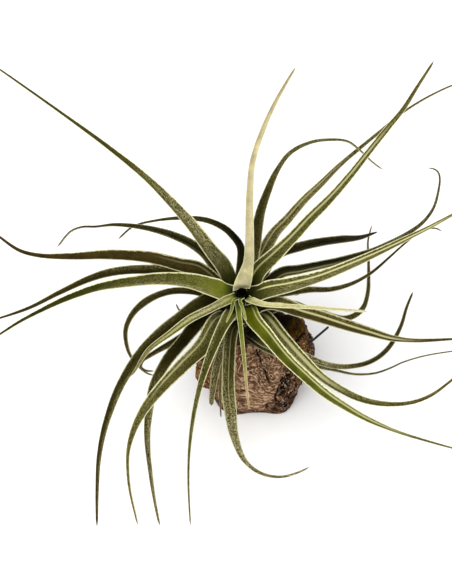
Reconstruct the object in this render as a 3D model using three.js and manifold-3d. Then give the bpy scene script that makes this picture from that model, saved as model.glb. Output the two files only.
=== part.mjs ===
// Air plant with long, channelled, silvery leaves on a small lump of natural wood.
// Millimetres, +Z up. The origin is the middle of the wood's flat underside, +X is the viewer's right
// and -Y faces the viewer.

import * as THREE from "three";
import { mergeVertices } from "three/addons/utils/BufferGeometryUtils.js";
import Module from "manifold-3d";

const wasm = await Module();
wasm.setup();

// Driving dimensions
const CLEARANCE = 0.3;
const STEM = { x: -7, y: 4, peg: 6, foot: 38, ledge: 45.8, baseRadius: 9.2, top: 88.1, sides: 28 };
// Heights and radii of the stem above its peg in the wood
const STEM_SIDE = [[46, 9.2], [50, 8], [55, 6.4], [60, 6], [75, 4.8], [83, 3.5], [87.4, 2.9], [87.9, 2.1]];
const LEAF = { seat: 0.5, rootThickness: 1.1, tipThickness: 0.75, flareEnd: 0.07, rootShare: 0.62 };
const FOLD = { root: 17, blade: 34, from: 0.07, to: 0.28 };
const RING = { step: 13, turn: 0.27, samples: 240 };
const WOOD = { width: 71, depth: 50, height: 46, columns: 64, rows: 24 };
// The wood's outline is squarer than an ellipse; its foot is narrower than its belly and it leans back.
const WOOD_FORM = {
  square: 2.6, shoulder: 0.5, dome: 0.8, footWidth: 0.72, footDepth: 0.92, belly: 0.45, lean: 6, upright: 0.4,
};
const WIRE = { radius: 0.7, sides: 10, buried: 9, mouth: [302.2, 348.2, 33], end: [328.8, 325.9, 38] };

// The photograph is taken from the front and above. A place in it is written as a pixel across, a
// pixel down and a real height above the surface, and seen() turns the three into a point. Its middle
// lies at 226, 291.3, as its pixels were read 0.7 too low.
const VIEW = { elevation: 57, distance: 650, mmPerPixel: 0.54, middle: [226, 291.3] };
const CROWN = { pixel: [242, 289], height: 90 };

const rad = THREE.MathUtils.degToRad;
const viewRight = new THREE.Vector3(1, 0, 0);
const viewUp = new THREE.Vector3(0, Math.sin(rad(VIEW.elevation)), Math.cos(rad(VIEW.elevation)));
const viewBack = new THREE.Vector3(0, -Math.cos(rad(VIEW.elevation)), Math.sin(rad(VIEW.elevation)));

function sightLine(px, py) {
  const across = (px - VIEW.middle[0]) * VIEW.mmPerPixel;
  const above = (VIEW.middle[1] - py) * VIEW.mmPerPixel;
  return viewBack
    .clone()
    .multiplyScalar(-VIEW.distance)
    .addScaledVector(viewRight, across)
    .addScaledVector(viewUp, above);
}

const eye = new THREE.Vector3(STEM.x, STEM.y, CROWN.height).sub(sightLine(...CROWN.pixel));

function seen(px, py, height) {
  const line = sightLine(px, py);
  return line.multiplyScalar((height - eye.z) / line.z).add(eye);
}

// Each leaf: root is [direction round the stem in degrees, height on it], width is the blade's width
// at even steps from its base to its tip, and path is [pixel across, pixel down, height].
const LEAVES = [
  {
    name: "leaf_centre_1",
    root: [100, 86.8],
    width: [12, 6.6, 5, 4.3, 3.6, 3.1, 2.6, 1.9, 1.1],
    path: [[245, 276, 94], [248.5, 262, 104], [249.5, 240, 121], [249.5, 210, 138], [250, 190, 150],
      [252.4, 162, 166], [261.3, 133, 181], [275, 102, 195], [291, 74, 206], [296, 66, 210]],
  },
  {
    name: "leaf_centre_2",
    root: [254, 87],
    width: [2.2, 2, 1.7, 1.3, 0.7],
    path: [[234.6, 299, 92], [231, 311, 99], [226, 322, 103]],
  },
  {
    name: "leaf_centre_3",
    root: [283, 87.4],
    width: [2.2, 2, 1.7, 1.3, 0.7],
    path: [[240, 299, 92], [243.5, 310, 99], [246.5, 320, 103]],
  },
  {
    name: "leaf_left_1",
    root: [148, 78.4],
    width: [12, 7.5, 3.4, 1.6, 0.9],
    path: [[224.5, 269.5, 93.5], [209.6, 249.6, 111], [186.6, 219.6, 127], [149.5, 180.5, 146],
      [110, 148, 160], [70, 118.5, 171], [30, 90, 180], [0, 69, 185], [-12, 61, 186]],
  },
  {
    name: "leaf_left_2",
    root: [156, 73.7],
    width: [11, 8, 5.9, 2.7, 1.1],
    path: [[200, 270, 90], [180, 265, 95], [150, 257.5, 101], [110, 254.6, 104], [70, 256, 102],
      [40, 255, 99], [20, 250, 98], [0, 236.5, 98], [-10, 228, 98]],
  },
  {
    name: "leaf_left_3",
    root: [160, 66.4],
    width: [11, 6.4, 5, 2.7, 1],
    path: [[180, 272, 84], [150, 269.5, 88], [130, 269.8, 89], [110, 272.4, 88], [90, 278.4, 85],
      [60, 292, 78], [30, 307, 69], [0, 317.3, 60], [-10, 320, 57]],
  },
  {
    name: "leaf_left_4",
    root: [174, 83.6],
    width: [14, 8.2, 5.2, 2.8, 1.1],
    path: [[226, 292, 89.5], [210, 287, 93.4], [190, 281.5, 97], [160, 279.2, 101], [130, 281.9, 102],
      [100, 286.7, 100], [80, 293, 97], [60, 301, 92], [40, 310.5, 86], [20, 321, 79], [0, 333.5, 71],
      [-10, 340, 67]],
  },
  {
    name: "leaf_left_5",
    root: [154, 61],
    width: [7.5, 3.8, 4.6, 2.8, 0.7],
    path: [[205, 294, 70], [190, 290.9, 72], [170, 291.2, 72], [150.4, 298.5, 69], [133.5, 312.8, 63],
      [126, 330, 56], [128.5, 350, 49], [134, 360, 46], [140, 367, 44], [147, 372.5, 42],
      [154, 375, 42]],
  },
  {
    name: "leaf_left_6",
    root: [196, 58.5],
    width: [8, 5.2, 4.6, 2.6, 0.7],
    path: [[205, 322, 65], [190, 332, 66], [175, 341, 64], [160, 349, 60], [150, 355, 57],
      [143, 360, 54], [141, 366, 52], [145, 369.5, 51], [154, 370.5, 51]],
  },
  {
    name: "leaf_left_7",
    root: [165, 55.5],
    width: [6, 4, 2.6, 1.4, 0.7],
    path: [[205, 306, 60], [190, 313, 61], [180, 310, 60], [176, 303, 59]],
  },
  {
    name: "leaf_front_1",
    root: [201, 85.8],
    width: [6.5, 4.3, 4.1, 2.7, 0.9],
    path: [[229, 298.5, 91], [210, 308.5, 98], [190, 318.5, 101], [170, 333, 100], [150, 348, 96],
      [143.5, 355.9, 94], [136, 368.5, 90], [131, 375.5, 88]],
  },
  {
    name: "leaf_front_2",
    root: [197, 68],
    width: [12, 7.6, 5.1, 2.8, 1.2],
    path: [[214, 301, 79], [200, 305, 85], [180.6, 317.9, 90], [161, 333, 90], [141.2, 352.9, 86],
      [121.1, 383.5, 78], [106.3, 422, 67], [99.3, 455, 57], [97.2, 490, 46], [97, 517, 38],
      [97, 526, 35]],
  },
  {
    name: "leaf_front_3",
    root: [206, 62.8],
    width: [11, 7.6, 5, 2.6, 1.2],
    path: [[205, 312, 76], [195, 325, 79], [185, 338, 80], [166, 361.5, 78], [153.5, 386, 73],
      [149.2, 410, 66], [147.3, 430, 60], [148, 450, 53], [150.3, 470, 46], [153, 490, 39],
      [158, 517, 31], [160, 525, 28]],
  },
  {
    name: "leaf_front_4",
    root: [239, 72.6],
    width: [11, 10.3, 6.5, 2.1, 0.9],
    path: [[218.5, 322, 91.5], [203.8, 345.4, 94.2], [182.4, 366.2, 94], [161.4, 387.7, 90],
      [145.6, 407.5, 83], [134.6, 428.2, 75], [128.5, 450, 66], [128, 470, 58], [130, 490, 50],
      [136, 517, 40], [138, 525, 37]],
  },
  {
    name: "leaf_front_5",
    root: [244, 75.4],
    width: [9.5, 6, 2.8, 1.4, 0.8],
    path: [[230, 315, 91], [222, 328, 97.5], [215, 343, 99.5], [204, 372, 98], [196.5, 400, 92],
      [192, 425, 84], [189, 455, 72], [188.5, 485, 60], [190, 517, 48], [190.5, 525, 45]],
  },
  {
    name: "leaf_front_6",
    root: [251, 59.5],
    width: [8, 5, 4.6, 4, 2.4],
    path: [[226, 335, 72], [222, 350, 73], [217, 365, 72], [214, 380, 70], [212, 395, 67],
      [211.5, 405, 64]],
  },
  {
    name: "leaf_front_7",
    root: [266, 68],
    width: [9.5, 7, 6.8, 2.2, 0.8],
    path: [[232, 330, 86], [229, 360, 88], [228.5, 390, 83], [230, 405, 79], [234.5, 435.2, 69],
      [245, 460, 60], [261.8, 472.8, 55], [281, 476, 53], [300, 471, 54], [310, 466, 55]],
  },
  {
    name: "leaf_front_8",
    root: [266, 83.4],
    width: [4, 2.8, 2.2, 1.6, 0.8],
    path: [[238.5, 304, 91], [241, 330, 103], [244, 358, 102], [246.5, 385, 95], [249, 408, 86]],
  },
  {
    name: "leaf_front_9",
    root: [240, 53],
    width: [5, 3, 2.2, 1.4, 0.7],
    path: [[225, 340, 58], [222, 365, 57], [220, 390, 50], [221, 417, 38]],
  },
  {
    name: "leaf_right_1",
    root: [300, 79.6],
    width: [10.5, 7, 5, 1.7, 0.9],
    path: [[247.8, 307.5, 86.2], [254, 320, 90], [265, 333, 92], [285, 357, 93], [305, 376, 92],
      [325, 393, 89], [345, 406, 86], [365.2, 417.5, 82], [395.2, 430.3, 76], [430.2, 441.2, 69],
      [452, 447.2, 64], [462, 449.7, 62]],
  },
  {
    name: "leaf_right_2",
    root: [308, 64],
    width: [9, 6.6, 4.4, 2.3, 1.3],
    path: [[262, 314.4, 77], [282, 336, 84], [302, 358, 86], [322, 377, 84], [342.5, 390, 80],
      [362.3, 399, 77], [385, 403.3, 73], [410, 402.1, 70], [430.6, 394.7, 68], [451.6, 379.4, 67],
      [459.6, 372.4, 67]],
  },
  {
    name: "leaf_right_3",
    root: [322, 85.5],
    width: [5.4, 3.4, 2.6, 1.8, 0.9],
    path: [[250, 299, 95], [262, 303.5, 105], [275, 305, 112], [305, 306.4, 125], [335, 308.5, 138],
      [367, 310.6, 149]],
  },
  {
    name: "leaf_right_4",
    root: [330, 69.3],
    width: [12, 8.6, 7, 2.5, 1.1],
    path: [[275, 304, 90], [300, 311.5, 96], [320, 317.2, 99], [350, 326.4, 98], [370, 332, 95],
      [390, 337.5, 91], [415, 340, 85], [452, 338.5, 78], [462, 338, 76]],
  },
  {
    name: "leaf_right_5",
    root: [357, 83.6],
    width: [14, 8.2, 5.2, 2.9, 1.5],
    path: [[258, 293, 89.5], [268, 290, 92.5], [290, 285.5, 98], [320, 277, 102], [350, 265, 103],
      [370, 256, 102], [390, 246.5, 100], [410, 236.5, 98], [430, 226.5, 95], [452, 214.5, 92],
      [462, 209, 90]],
  },
  {
    name: "leaf_right_6",
    root: [24, 71.8],
    width: [9, 5.4, 3.5, 2.1, 0.8],
    path: [[280, 273.5, 85], [300, 269.2, 89], [320, 265, 91], [340, 260.5, 91], [370, 251.5, 88],
      [390, 242.5, 85], [410, 231.5, 82], [424, 220.5, 80], [434, 206, 80], [438.8, 188, 84],
      [439.8, 178, 88], [438.5, 172, 91], [434.5, 168.5, 93], [427, 167, 94]],
  },
  {
    name: "leaf_right_7",
    root: [14, 63.5],
    width: [7.5, 3.8, 1.9, 1.2, 0.8],
    path: [[275, 294, 76], [290, 291.5, 80], [310, 289.3, 82], [330, 288.9, 81], [350, 283.7, 79],
      [370, 273, 76], [390, 256, 73], [404, 243.5, 71], [421, 231, 70], [435, 227.5, 69],
      [443, 231, 68]],
  },
  {
    name: "leaf_right_8",
    root: [0, 61],
    width: [7, 3.8, 3.1, 2, 0.6],
    path: [[290, 304, 73], [305, 307.5, 75], [320, 311.5, 75], [333, 316, 74], [343, 318, 72],
      [352, 316, 70], [359, 311.5, 69], [363.5, 306, 68], [366.2, 298.3, 67], [368, 288, 66],
      [368.4, 277, 65], [368.3, 255, 64], [368, 240, 63], [372, 224, 62]],
  },
  {
    name: "leaf_right_9",
    root: [308, 57],
    width: [8, 4.6, 3, 2.6, 1.2],
    path: [[268, 344, 66], [285, 350, 69], [303, 355, 69], [318.2, 361.6, 67], [330.1, 365.1, 65],
      [345, 366.4, 62], [360.2, 364.5, 60], [370.4, 361.1, 58], [380.4, 355.1, 57], [390.3, 344.8, 56],
      [401, 325, 55], [406.5, 307, 55], [413, 291, 55]],
  },
  {
    name: "leaf_right_10",
    root: [304, 52.5],
    width: [6, 3, 1.3, 0.8, 0.7],
    path: [[262, 346, 60], [280, 355, 61], [300, 360, 60], [322, 367, 57], [333.2, 369.2, 55],
      [355, 373.5, 51], [375, 372.5, 48], [390, 367.5, 46], [403, 361.5, 44], [425, 355, 42],
      [452, 350.5, 40], [460, 349.5, 39]],
  },
  {
    name: "leaf_back_1",
    root: [40, 79],
    width: [12.5, 6.8, 4.4, 3, 1.3],
    path: [[258, 272, 92.5], [276, 254, 105], [295, 235, 114], [310, 218.5, 120], [330, 198.5, 126],
      [350, 175.5, 132], [370, 150, 138], [390, 125, 144], [403, 109, 148], [417.5, 86, 152],
      [430, 66.5, 155], [434, 60, 156]],
  },
  {
    name: "leaf_back_2",
    root: [60, 73.5],
    width: [11, 5.5, 2.6, 1.6, 1],
    path: [[272, 237, 92], [288, 218.5, 97], [304, 200, 101], [320, 184.5, 103], [340, 164.5, 104],
      [360, 147.5, 103], [380, 131, 101], [402, 112.5, 98], [426.7, 96.9, 95], [451.5, 85, 92],
      [460, 82.5, 91]],
  },
  {
    name: "leaf_back_3",
    root: [80, 76.5],
    width: [10, 6.6, 2.9, 1.7, 0.6],
    path: [[255, 243, 96], [257, 230, 102], [261, 210, 109], [268, 190, 115], [277, 170, 119],
      [290, 152.5, 121], [310, 142, 121], [330, 139.1, 119], [348, 140.8, 116], [359.4, 149, 112],
      [373.4, 161.9, 106], [383.5, 169.3, 102]],
  },
  {
    name: "leaf_back_4",
    root: [49, 65.8],
    width: [9, 6.6, 5.4, 4.6, 0.8],
    path: [[275, 256, 85], [300.1, 246.4, 88], [320, 242, 87], [340, 239.2, 83], [360, 237, 77],
      [373, 232.8, 74], [378, 231, 73]],
  },
  {
    name: "leaf_back_5",
    root: [99, 67.6],
    width: [9, 4.6, 3.3, 1.5, 1],
    path: [[241, 250, 79], [239, 243, 82], [232, 234, 87], [224.7, 227.6, 88], [207.8, 219.9, 89],
      [185, 217.4, 87], [155, 220, 81], [133, 226, 74], [118, 238.5, 66]],
  },
  {
    name: "leaf_back_6",
    root: [130, 70],
    width: [11, 6, 3.6, 1.5, 0.9],
    path: [[208, 257, 87], [192, 244, 91], [173, 235, 93], [153, 229, 91], [133, 225.5, 88],
      [113, 224.2, 84], [95, 226, 79], [82, 226.3, 76], [70, 231, 72], [57, 246.5, 65]],
  },
  {
    name: "leaf_back_7",
    root: [28, 57],
    width: [7, 4, 2.4, 1.4, 0.7],
    path: [[275, 296, 65], [288, 293, 64], [299, 294, 59]],
  },
  {
    name: "leaf_back_8",
    root: [76, 57.8],
    width: [7, 4, 2.4, 1.4, 0.7],
    path: [[250, 268, 73], [254, 252, 73], [256, 240, 68]],
  },
  {
    name: "leaf_back_9",
    root: [110, 62.4],
    width: [7, 4, 2.4, 1.4, 0.7],
    path: [[232, 274, 68], [226, 265, 68], [220, 258, 63]],
  },
  {
    name: "leaf_back_10",
    root: [136, 57],
    width: [7, 4, 2.4, 1.4, 0.7],
    path: [[218, 295, 65], [205, 286, 65], [195, 277, 59]],
  },
];

// Lobes of the wood: a centre, how far the lobe stands out (negative sinks a hollow) and its spread.
const LOBES = [
  { at: [23, 12, 39], out: 5.5, spread: 7 },
  { at: [34, 5, 29], out: 2.6, spread: 6 },
  { at: [30, -8, 15], out: -6, spread: 8 },
  { at: [20, -22, 4], out: 3, spread: 7 },
  { at: [4, -26, 1], out: -3.5, spread: 6 },
  { at: [-32, -4, 26], out: 0.5, spread: 10 },
  { at: [-26, -18, 12], out: -3.5, spread: 8 },
  { at: [-6, -26, 14], out: 2, spread: 14 },
  { at: [10, 24, 24], out: 4, spread: 12 },
  { at: [-20, 20, 14], out: -3, spread: 9 },
];

// Waves of the wood's surface: turns round it, rows up it, start and how far they stand out.
const WAVES = [[5, 2, 0.4, 0.7], [9, -5, 1.7, 0.5], [14, 7, 3.1, 0.4], [3, 9, 5.2, 0.5]];

// Radius of the stem at a height on it.
function stemRadius(height) {
  const above = STEM_SIDE.findIndex(([z]) => z > height);
  const [[z0, r0], [z1, r1]] = [STEM_SIDE[above - 1], STEM_SIDE[above]];
  return THREE.MathUtils.mapLinear(height, z0, z1, r0, r1);
}

// A smooth line through the leaf's root on the stem and the points of its path.
function leafLine(leaf) {
  const [direction, height] = leaf.root;
  const out = stemRadius(height) + LEAF.seat;
  const root = new THREE.Vector3(
    STEM.x + out * Math.cos(rad(direction)),
    STEM.y + out * Math.sin(rad(direction)),
    height,
  );
  const points = leaf.path.map(([px, py, z]) => seen(px, py, z));
  return new THREE.CatmullRomCurve3([root, ...points], false, "centripetal");
}

// Value at share s of a list of values set evenly along the leaf.
function along(values, s) {
  const place = Math.min(s * (values.length - 1), values.length - 1.0001);
  const i = Math.floor(place);
  const t = place - i;
  return values[i] * (1 - t) + values[i + 1] * t;
}

// Frames that follow a line without twisting about it: place, direction, and the normal of the blade's
// upper face, which starts halfway between straight up and straight in towards the stem.
function framesAlong(line, direction) {
  const frames = [];
  let normal = new THREE.Vector3(-Math.cos(rad(direction)), -Math.sin(rad(direction)), 1);
  for (let i = 0; i <= RING.samples; i++) {
    const place = line.getPointAt(i / RING.samples);
    const tangent = line.getTangentAt(i / RING.samples);
    normal = normal.clone().addScaledVector(tangent, -normal.dot(tangent)).normalize();
    frames.push({ s: i / RING.samples, place, tangent, normal });
  }
  return frames;
}

// Picks frames for the rings: one for each RING.step of length, and more where the line bends.
function ringFrames(frames) {
  const measure = [0];
  for (let i = 1; i < frames.length; i++) {
    const length = frames[i].place.distanceTo(frames[i - 1].place);
    const bend = frames[i].tangent.angleTo(frames[i - 1].tangent);
    measure.push(measure[i - 1] + length / RING.step + bend / RING.turn);
  }
  const total = measure[measure.length - 1];
  const count = Math.ceil(total);
  const picked = [];
  let i = 0;
  for (let ring = 0; ring <= count; ring++) {
    while (i < frames.length - 1 && measure[i] < (total * ring) / count) i++;
    picked.push(frames[i]);
  }
  return picked;
}

// Half width and fold of the blade at share s of its length. The base flares out from a narrower root.
function bladeAt(leaf, s) {
  const flare = THREE.MathUtils.smoothstep(s, 0, LEAF.flareEnd);
  const half = (along(leaf.width, s) / 2) * THREE.MathUtils.lerp(LEAF.rootShare, 1, flare);
  const opened = THREE.MathUtils.smoothstep(s, FOLD.from, FOLD.to);
  const fold = rad(THREE.MathUtils.lerp(FOLD.root, FOLD.blade, opened));
  const thickness = THREE.MathUtils.lerp(LEAF.rootThickness, LEAF.tipThickness, Math.sqrt(s));
  return { half, rise: half * Math.tan(fold), thickness };
}

// A leaf is a folded strip: each ring has three points on the upper face and three below them.
function leafGeometry(leaf) {
  const rings = ringFrames(framesAlong(leafLine(leaf), leaf.root[0]));
  const points = [];
  for (const { s, place, tangent, normal } of rings) {
    const { half, rise, thickness } = bladeAt(leaf, s);
    const across = new THREE.Vector3().crossVectors(tangent, normal);
    const upper = [-1, 0, 1].map((side) =>
      place.clone().addScaledVector(across, side * half).addScaledVector(normal, Math.abs(side) * rise),
    );
    const lower = upper.map((point) => point.clone().addScaledVector(normal, -thickness)).reverse();
    points.push(...upper, ...lower);
  }
  const faces = [[5, 4, 0], [4, 1, 0], [4, 3, 1], [3, 2, 1]];
  for (let ring = 0; ring < rings.length - 1; ring++) {
    for (let k = 0; k < 6; k++) {
      const a = ring * 6 + k;
      const b = ring * 6 + ((k + 1) % 6);
      const underside = k === 3 || k === 4;
      if (underside) faces.push([a, b, a + 6], [b, b + 6, a + 6]);
      else faces.push([a, b, b + 6], [a, b + 6, a + 6]);
    }
  }
  const last = (rings.length - 1) * 6;
  faces.push([last, last + 4, last + 5], [last, last + 1, last + 4]);
  faces.push([last + 1, last + 3, last + 4], [last + 1, last + 2, last + 3]);
  return closedGeometry(points, faces);
}

function closedGeometry(points, faces) {
  const geometry = new THREE.BufferGeometry();
  geometry.setAttribute("position", new THREE.Float32BufferAttribute(points.flatMap((p) => p.toArray()), 3));
  geometry.setIndex(faces.flat());
  return geometry;
}

// Joins and cuts
function toSolid(geometry) {
  const bare = geometry.clone();
  bare.deleteAttribute("normal");
  bare.deleteAttribute("uv");
  const merged = mergeVertices(bare, 1e-4);
  const mesh = new wasm.Mesh({
    numProp: 3,
    vertProperties: merged.attributes.position.array,
    triVerts: new Uint32Array(merged.index.array),
  });
  return new wasm.Manifold(mesh);
}

function toGeometry(solid) {
  const { vertProperties, triVerts } = solid.getMesh();
  const geometry = new THREE.BufferGeometry();
  geometry.setAttribute("position", new THREE.BufferAttribute(vertProperties, 3));
  geometry.setIndex(new THREE.BufferAttribute(triVerts, 1));
  return geometry;
}

// Stem: a peg in the wood, a spreading base, and a slim cone that the leaves grow from.
function stemGeometry() {
  const peg = [[STEM.foot, 0], [STEM.foot, STEM.peg], [STEM.ledge, STEM.peg]];
  const profile = [...peg, ...STEM_SIDE, [STEM.top, 0]];
  return new THREE.LatheGeometry(profile.map(([z, radius]) => new THREE.Vector2(radius, z)), STEM.sides)
    .rotateX(Math.PI / 2)
    .translate(STEM.x, STEM.y, 0);
}

// A point of the wood's surface: turn is the direction round it, and climb goes from 0 at the foot to 1
// at the middle of the top. A rounded box outline, narrowed at the foot, with lobes pushed out of it.
function woodPoint(turn, climb) {
  const angle = turn * 2 * Math.PI;
  const c = Math.cos(angle);
  const s = Math.sin(angle);
  const { square, shoulder, dome, footWidth, footDepth, belly, lean, upright } = WOOD_FORM;
  const outline = (Math.abs(c) ** square + Math.abs(s) ** square) ** (-1 / square);
  const arc = (climb * Math.PI) / 2;
  const spread = Math.cos(arc) ** shoulder;
  const rise = Math.sin(arc) ** dome;
  const fullness = THREE.MathUtils.smoothstep(rise, 0, belly);
  const halfWidth = (WOOD.width / 2) * THREE.MathUtils.lerp(footWidth, 1, fullness);
  const halfDepth = (WOOD.depth / 2) * THREE.MathUtils.lerp(footDepth, 1, fullness);
  const point = new THREE.Vector3(
    halfWidth * outline * spread * c,
    halfDepth * outline * spread * s + lean * (rise - upright),
    WOOD.height * rise,
  );
  const outward = point.clone().sub(new THREE.Vector3(0, 0, WOOD.height / 2)).normalize();
  let push = 0;
  for (const { at, out, spread } of LOBES) {
    push += out * Math.exp(-((point.distanceTo(new THREE.Vector3(...at)) / spread) ** 2));
  }
  for (const [round, up, start, out] of WAVES) {
    push += out * spread * Math.sin(round * angle + up * arc + start);
  }
  point.addScaledVector(outward, push);
  point.z = climb === 0 ? 0 : Math.max(point.z, 0);
  return point;
}

function woodGeometry() {
  const points = [];
  for (let row = 0; row < WOOD.rows; row++) {
    for (let column = 0; column < WOOD.columns; column++) {
      points.push(woodPoint(column / WOOD.columns, row / WOOD.rows));
    }
  }
  const bottom = points.length;
  points.push(new THREE.Vector3(0, 0, 0));
  const top = points.length;
  points.push(woodPoint(0, 1));
  const faces = [];
  for (let column = 0; column < WOOD.columns; column++) {
    const next = (column + 1) % WOOD.columns;
    faces.push([bottom, next, column]);
    for (let row = 0; row < WOOD.rows - 1; row++) {
      const a = row * WOOD.columns + column;
      const b = row * WOOD.columns + next;
      faces.push([a, b, b + WOOD.columns], [a, b + WOOD.columns, a + WOOD.columns]);
    }
    const last = (WOOD.rows - 1) * WOOD.columns;
    faces.push([last + column, last + next, top]);
  }
  return closedGeometry(points, faces);
}

// Wire: a short straight end that comes out of a drilled hole in the wood.
const wireMouth = seen(...WIRE.mouth);
const wireEnd = seen(...WIRE.end);
const wireWay = wireEnd.clone().sub(wireMouth).normalize();
const wireStart = wireMouth.clone().addScaledVector(wireWay, -WIRE.buried);

function rodGeometry(from, to, radius, sides) {
  const length = from.distanceTo(to);
  const rod = new THREE.CylinderGeometry(radius, radius, length, sides);
  rod.translate(0, length / 2, 0);
  const turn = new THREE.Quaternion().setFromUnitVectors(
    new THREE.Vector3(0, 1, 0),
    to.clone().sub(from).normalize(),
  );
  return rod.applyQuaternion(turn).translate(from.x, from.y, from.z);
}

// Holes in the wood for the stem's foot and for the wire.
function drilledWood() {
  const seat = new THREE.Vector3(STEM.x, STEM.y, STEM.foot - CLEARANCE);
  const ledge = new THREE.Vector3(STEM.x, STEM.y, STEM.ledge - CLEARANCE);
  const above = new THREE.Vector3(STEM.x, STEM.y, STEM.top);
  const stemHole = rodGeometry(seat, above, STEM.peg + CLEARANCE, STEM.sides);
  const baseRecess = rodGeometry(ledge, above, STEM.baseRadius + CLEARANCE, STEM.sides);
  const wireHole = rodGeometry(
    wireStart.clone().addScaledVector(wireWay, -CLEARANCE),
    wireEnd.clone().addScaledVector(wireWay, CLEARANCE),
    WIRE.radius + CLEARANCE,
    WIRE.sides,
  );
  const holes = [stemHole, baseRecess, wireHole].map(toSolid);
  return toGeometry(holes.reduce((wood, hole) => wood.subtract(hole), toSolid(woodGeometry())));
}

// Materials
const LOOKS = {
  leaf: { color: "#6f7142", roughness: 0.75, metalness: 0 },
  stem: { color: "#4a4428", roughness: 0.85, metalness: 0 },
  wood: { color: "#94705a", roughness: 0.9, metalness: 0 },
  wire: { color: "#2f3438", roughness: 0.5, metalness: 0.4 },
};

const plant = new THREE.Group();

function add(name, geometry, look) {
  const mesh = new THREE.Mesh(geometry, new THREE.MeshStandardMaterial(look));
  mesh.name = name;
  plant.add(mesh);
}

for (const leaf of LEAVES) add(leaf.name, leafGeometry(leaf), LOOKS.leaf);
add("stem", stemGeometry(), LOOKS.stem);
add("wood_block", drilledWood(), LOOKS.wood);
add("wire", rodGeometry(wireStart, wireEnd, WIRE.radius, WIRE.sides), LOOKS.wire);

export default plant;
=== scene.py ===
"""Air plant on a wood block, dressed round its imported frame: leaves, stem, wood, wire and stage."""

import math

import bpy
import numpy as np
from bpy.props import FloatProperty, FloatVectorProperty, IntProperty, PointerProperty
from mathutils import Matrix, Vector


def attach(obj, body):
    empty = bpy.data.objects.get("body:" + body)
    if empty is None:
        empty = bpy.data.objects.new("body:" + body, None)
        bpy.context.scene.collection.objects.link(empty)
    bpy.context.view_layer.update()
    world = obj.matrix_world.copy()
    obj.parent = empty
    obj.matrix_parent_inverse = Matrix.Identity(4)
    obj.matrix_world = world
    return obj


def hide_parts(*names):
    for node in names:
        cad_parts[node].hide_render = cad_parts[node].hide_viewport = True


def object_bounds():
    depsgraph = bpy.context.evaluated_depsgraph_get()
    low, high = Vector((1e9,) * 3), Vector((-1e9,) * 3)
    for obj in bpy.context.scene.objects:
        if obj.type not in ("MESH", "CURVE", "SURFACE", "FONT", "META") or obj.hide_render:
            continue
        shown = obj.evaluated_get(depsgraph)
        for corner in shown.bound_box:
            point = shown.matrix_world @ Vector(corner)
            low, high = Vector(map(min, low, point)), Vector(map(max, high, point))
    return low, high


bl_info = {
    "name": "Air Plant on a Wood Block",
    "version": (1, 0, 0),
    "blender": (4, 5, 0),
    "location": "View3D > Sidebar > Air Plant",
    "description": "Builds a silvery air plant, its wood block and a pale studio stage",
    "category": "Add Mesh",
}

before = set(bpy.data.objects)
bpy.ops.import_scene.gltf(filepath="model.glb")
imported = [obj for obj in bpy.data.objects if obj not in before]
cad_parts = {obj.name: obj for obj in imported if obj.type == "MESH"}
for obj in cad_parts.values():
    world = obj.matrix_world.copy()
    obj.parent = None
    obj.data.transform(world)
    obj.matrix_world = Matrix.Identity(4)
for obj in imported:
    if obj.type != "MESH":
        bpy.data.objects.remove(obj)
CAD_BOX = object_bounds()

MM = 0.001
BODY = "root"

# Lengths are millimetres unless a name says otherwise, in the frame's axes: +Z up, -Y to the viewer.
# Stem: its axis, the heights of its foot, ledge and top, the radius of its peg and the depth of its hollow.
STEM = {"x": -7, "y": 4, "foot": 38, "ledge": 45.8, "peg": 6, "top": 88.1, "hollow": 2.6}
# Heights and radii of its side, and its old sheaths: how often they wind round it, how far each swells as a
# share of the radius, and the heights between which they fade out.
STEM_SIDE = ((46, 9.2), (50, 8), (55, 6.4), (60, 6), (75, 4.8), (83, 3.5), (87.4, 2.9), (87.9, 2.1))
SHEATHS = {"wind": 3, "swell": 0.07, "fade": (79, 82)}
# Leaf: gap between root and stem, thickness at root and tip, share of it that the margin lacks, depth of the
# channel's floor under the leaf's line and roundness of that floor (shares of its rise and half width), share
# of the length where the tip rounds off, length of a wave of its width, and its least and most rings.
LEAF = {
    "seat": 0.5, "root_thick": 1.1, "tip_thick": 0.75, "thin_margin": 0.55, "sink": 0.4, "softness": 0.16,
    "tip_begin": 0.965, "wave": 11, "rings": (24, 220),
}
# Where a leaf clasps the stem: how far its sides stand off at a reach from its middle, and the distances
# from the stem between which it opens to a flat blade.
CLASP = {"stand_off": 1.6, "reach": 6, "open": (2, 11)}
# Slope of the channel's sides in degrees, and the shares of the length between which it changes.
FOLD = {"root": 24, "blade": 34, "begin": 0.07, "end": 0.28}
# Points on a leaf's middle line, and on each span between two places of its path before that.
LINE = {"steps": 240, "span_steps": 40}
# Wood: its size, then the powers of its outline, sides and top, the shares of width and depth at its foot,
# the share of the height where it is widest, how far it leans back and the share of the height that stays.
WOOD = {"width": 71, "depth": 50, "height": 46}
WOOD_FORM = {"square": 2.6, "shoulder": 0.5, "dome": 0.8, "foot_width": 0.72, "foot_depth": 0.92,
             "belly": 0.45, "lean": 6, "upright": 0.4}
# Wire: its mouth and end are places in the picture.
WIRE = {"radius": 0.7, "buried": 9, "bow": 0.25, "mouth": (302.2, 348.2, 33), "end": (328.8, 325.9, 38)}

# The picture's camera. A place in the picture is a pixel across, a pixel down and a height, and
# seen() turns the three into a point. read_high is how many pixels too high the places were read.
IMAGE = (452, 584)
VIEW = {"elevation": 57, "distance": 650, "mm_per_pixel": 0.54, "sensor": 36, "read_high": 0.7}
CROWN = {"pixel": (242, 289), "height": 90}


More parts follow.
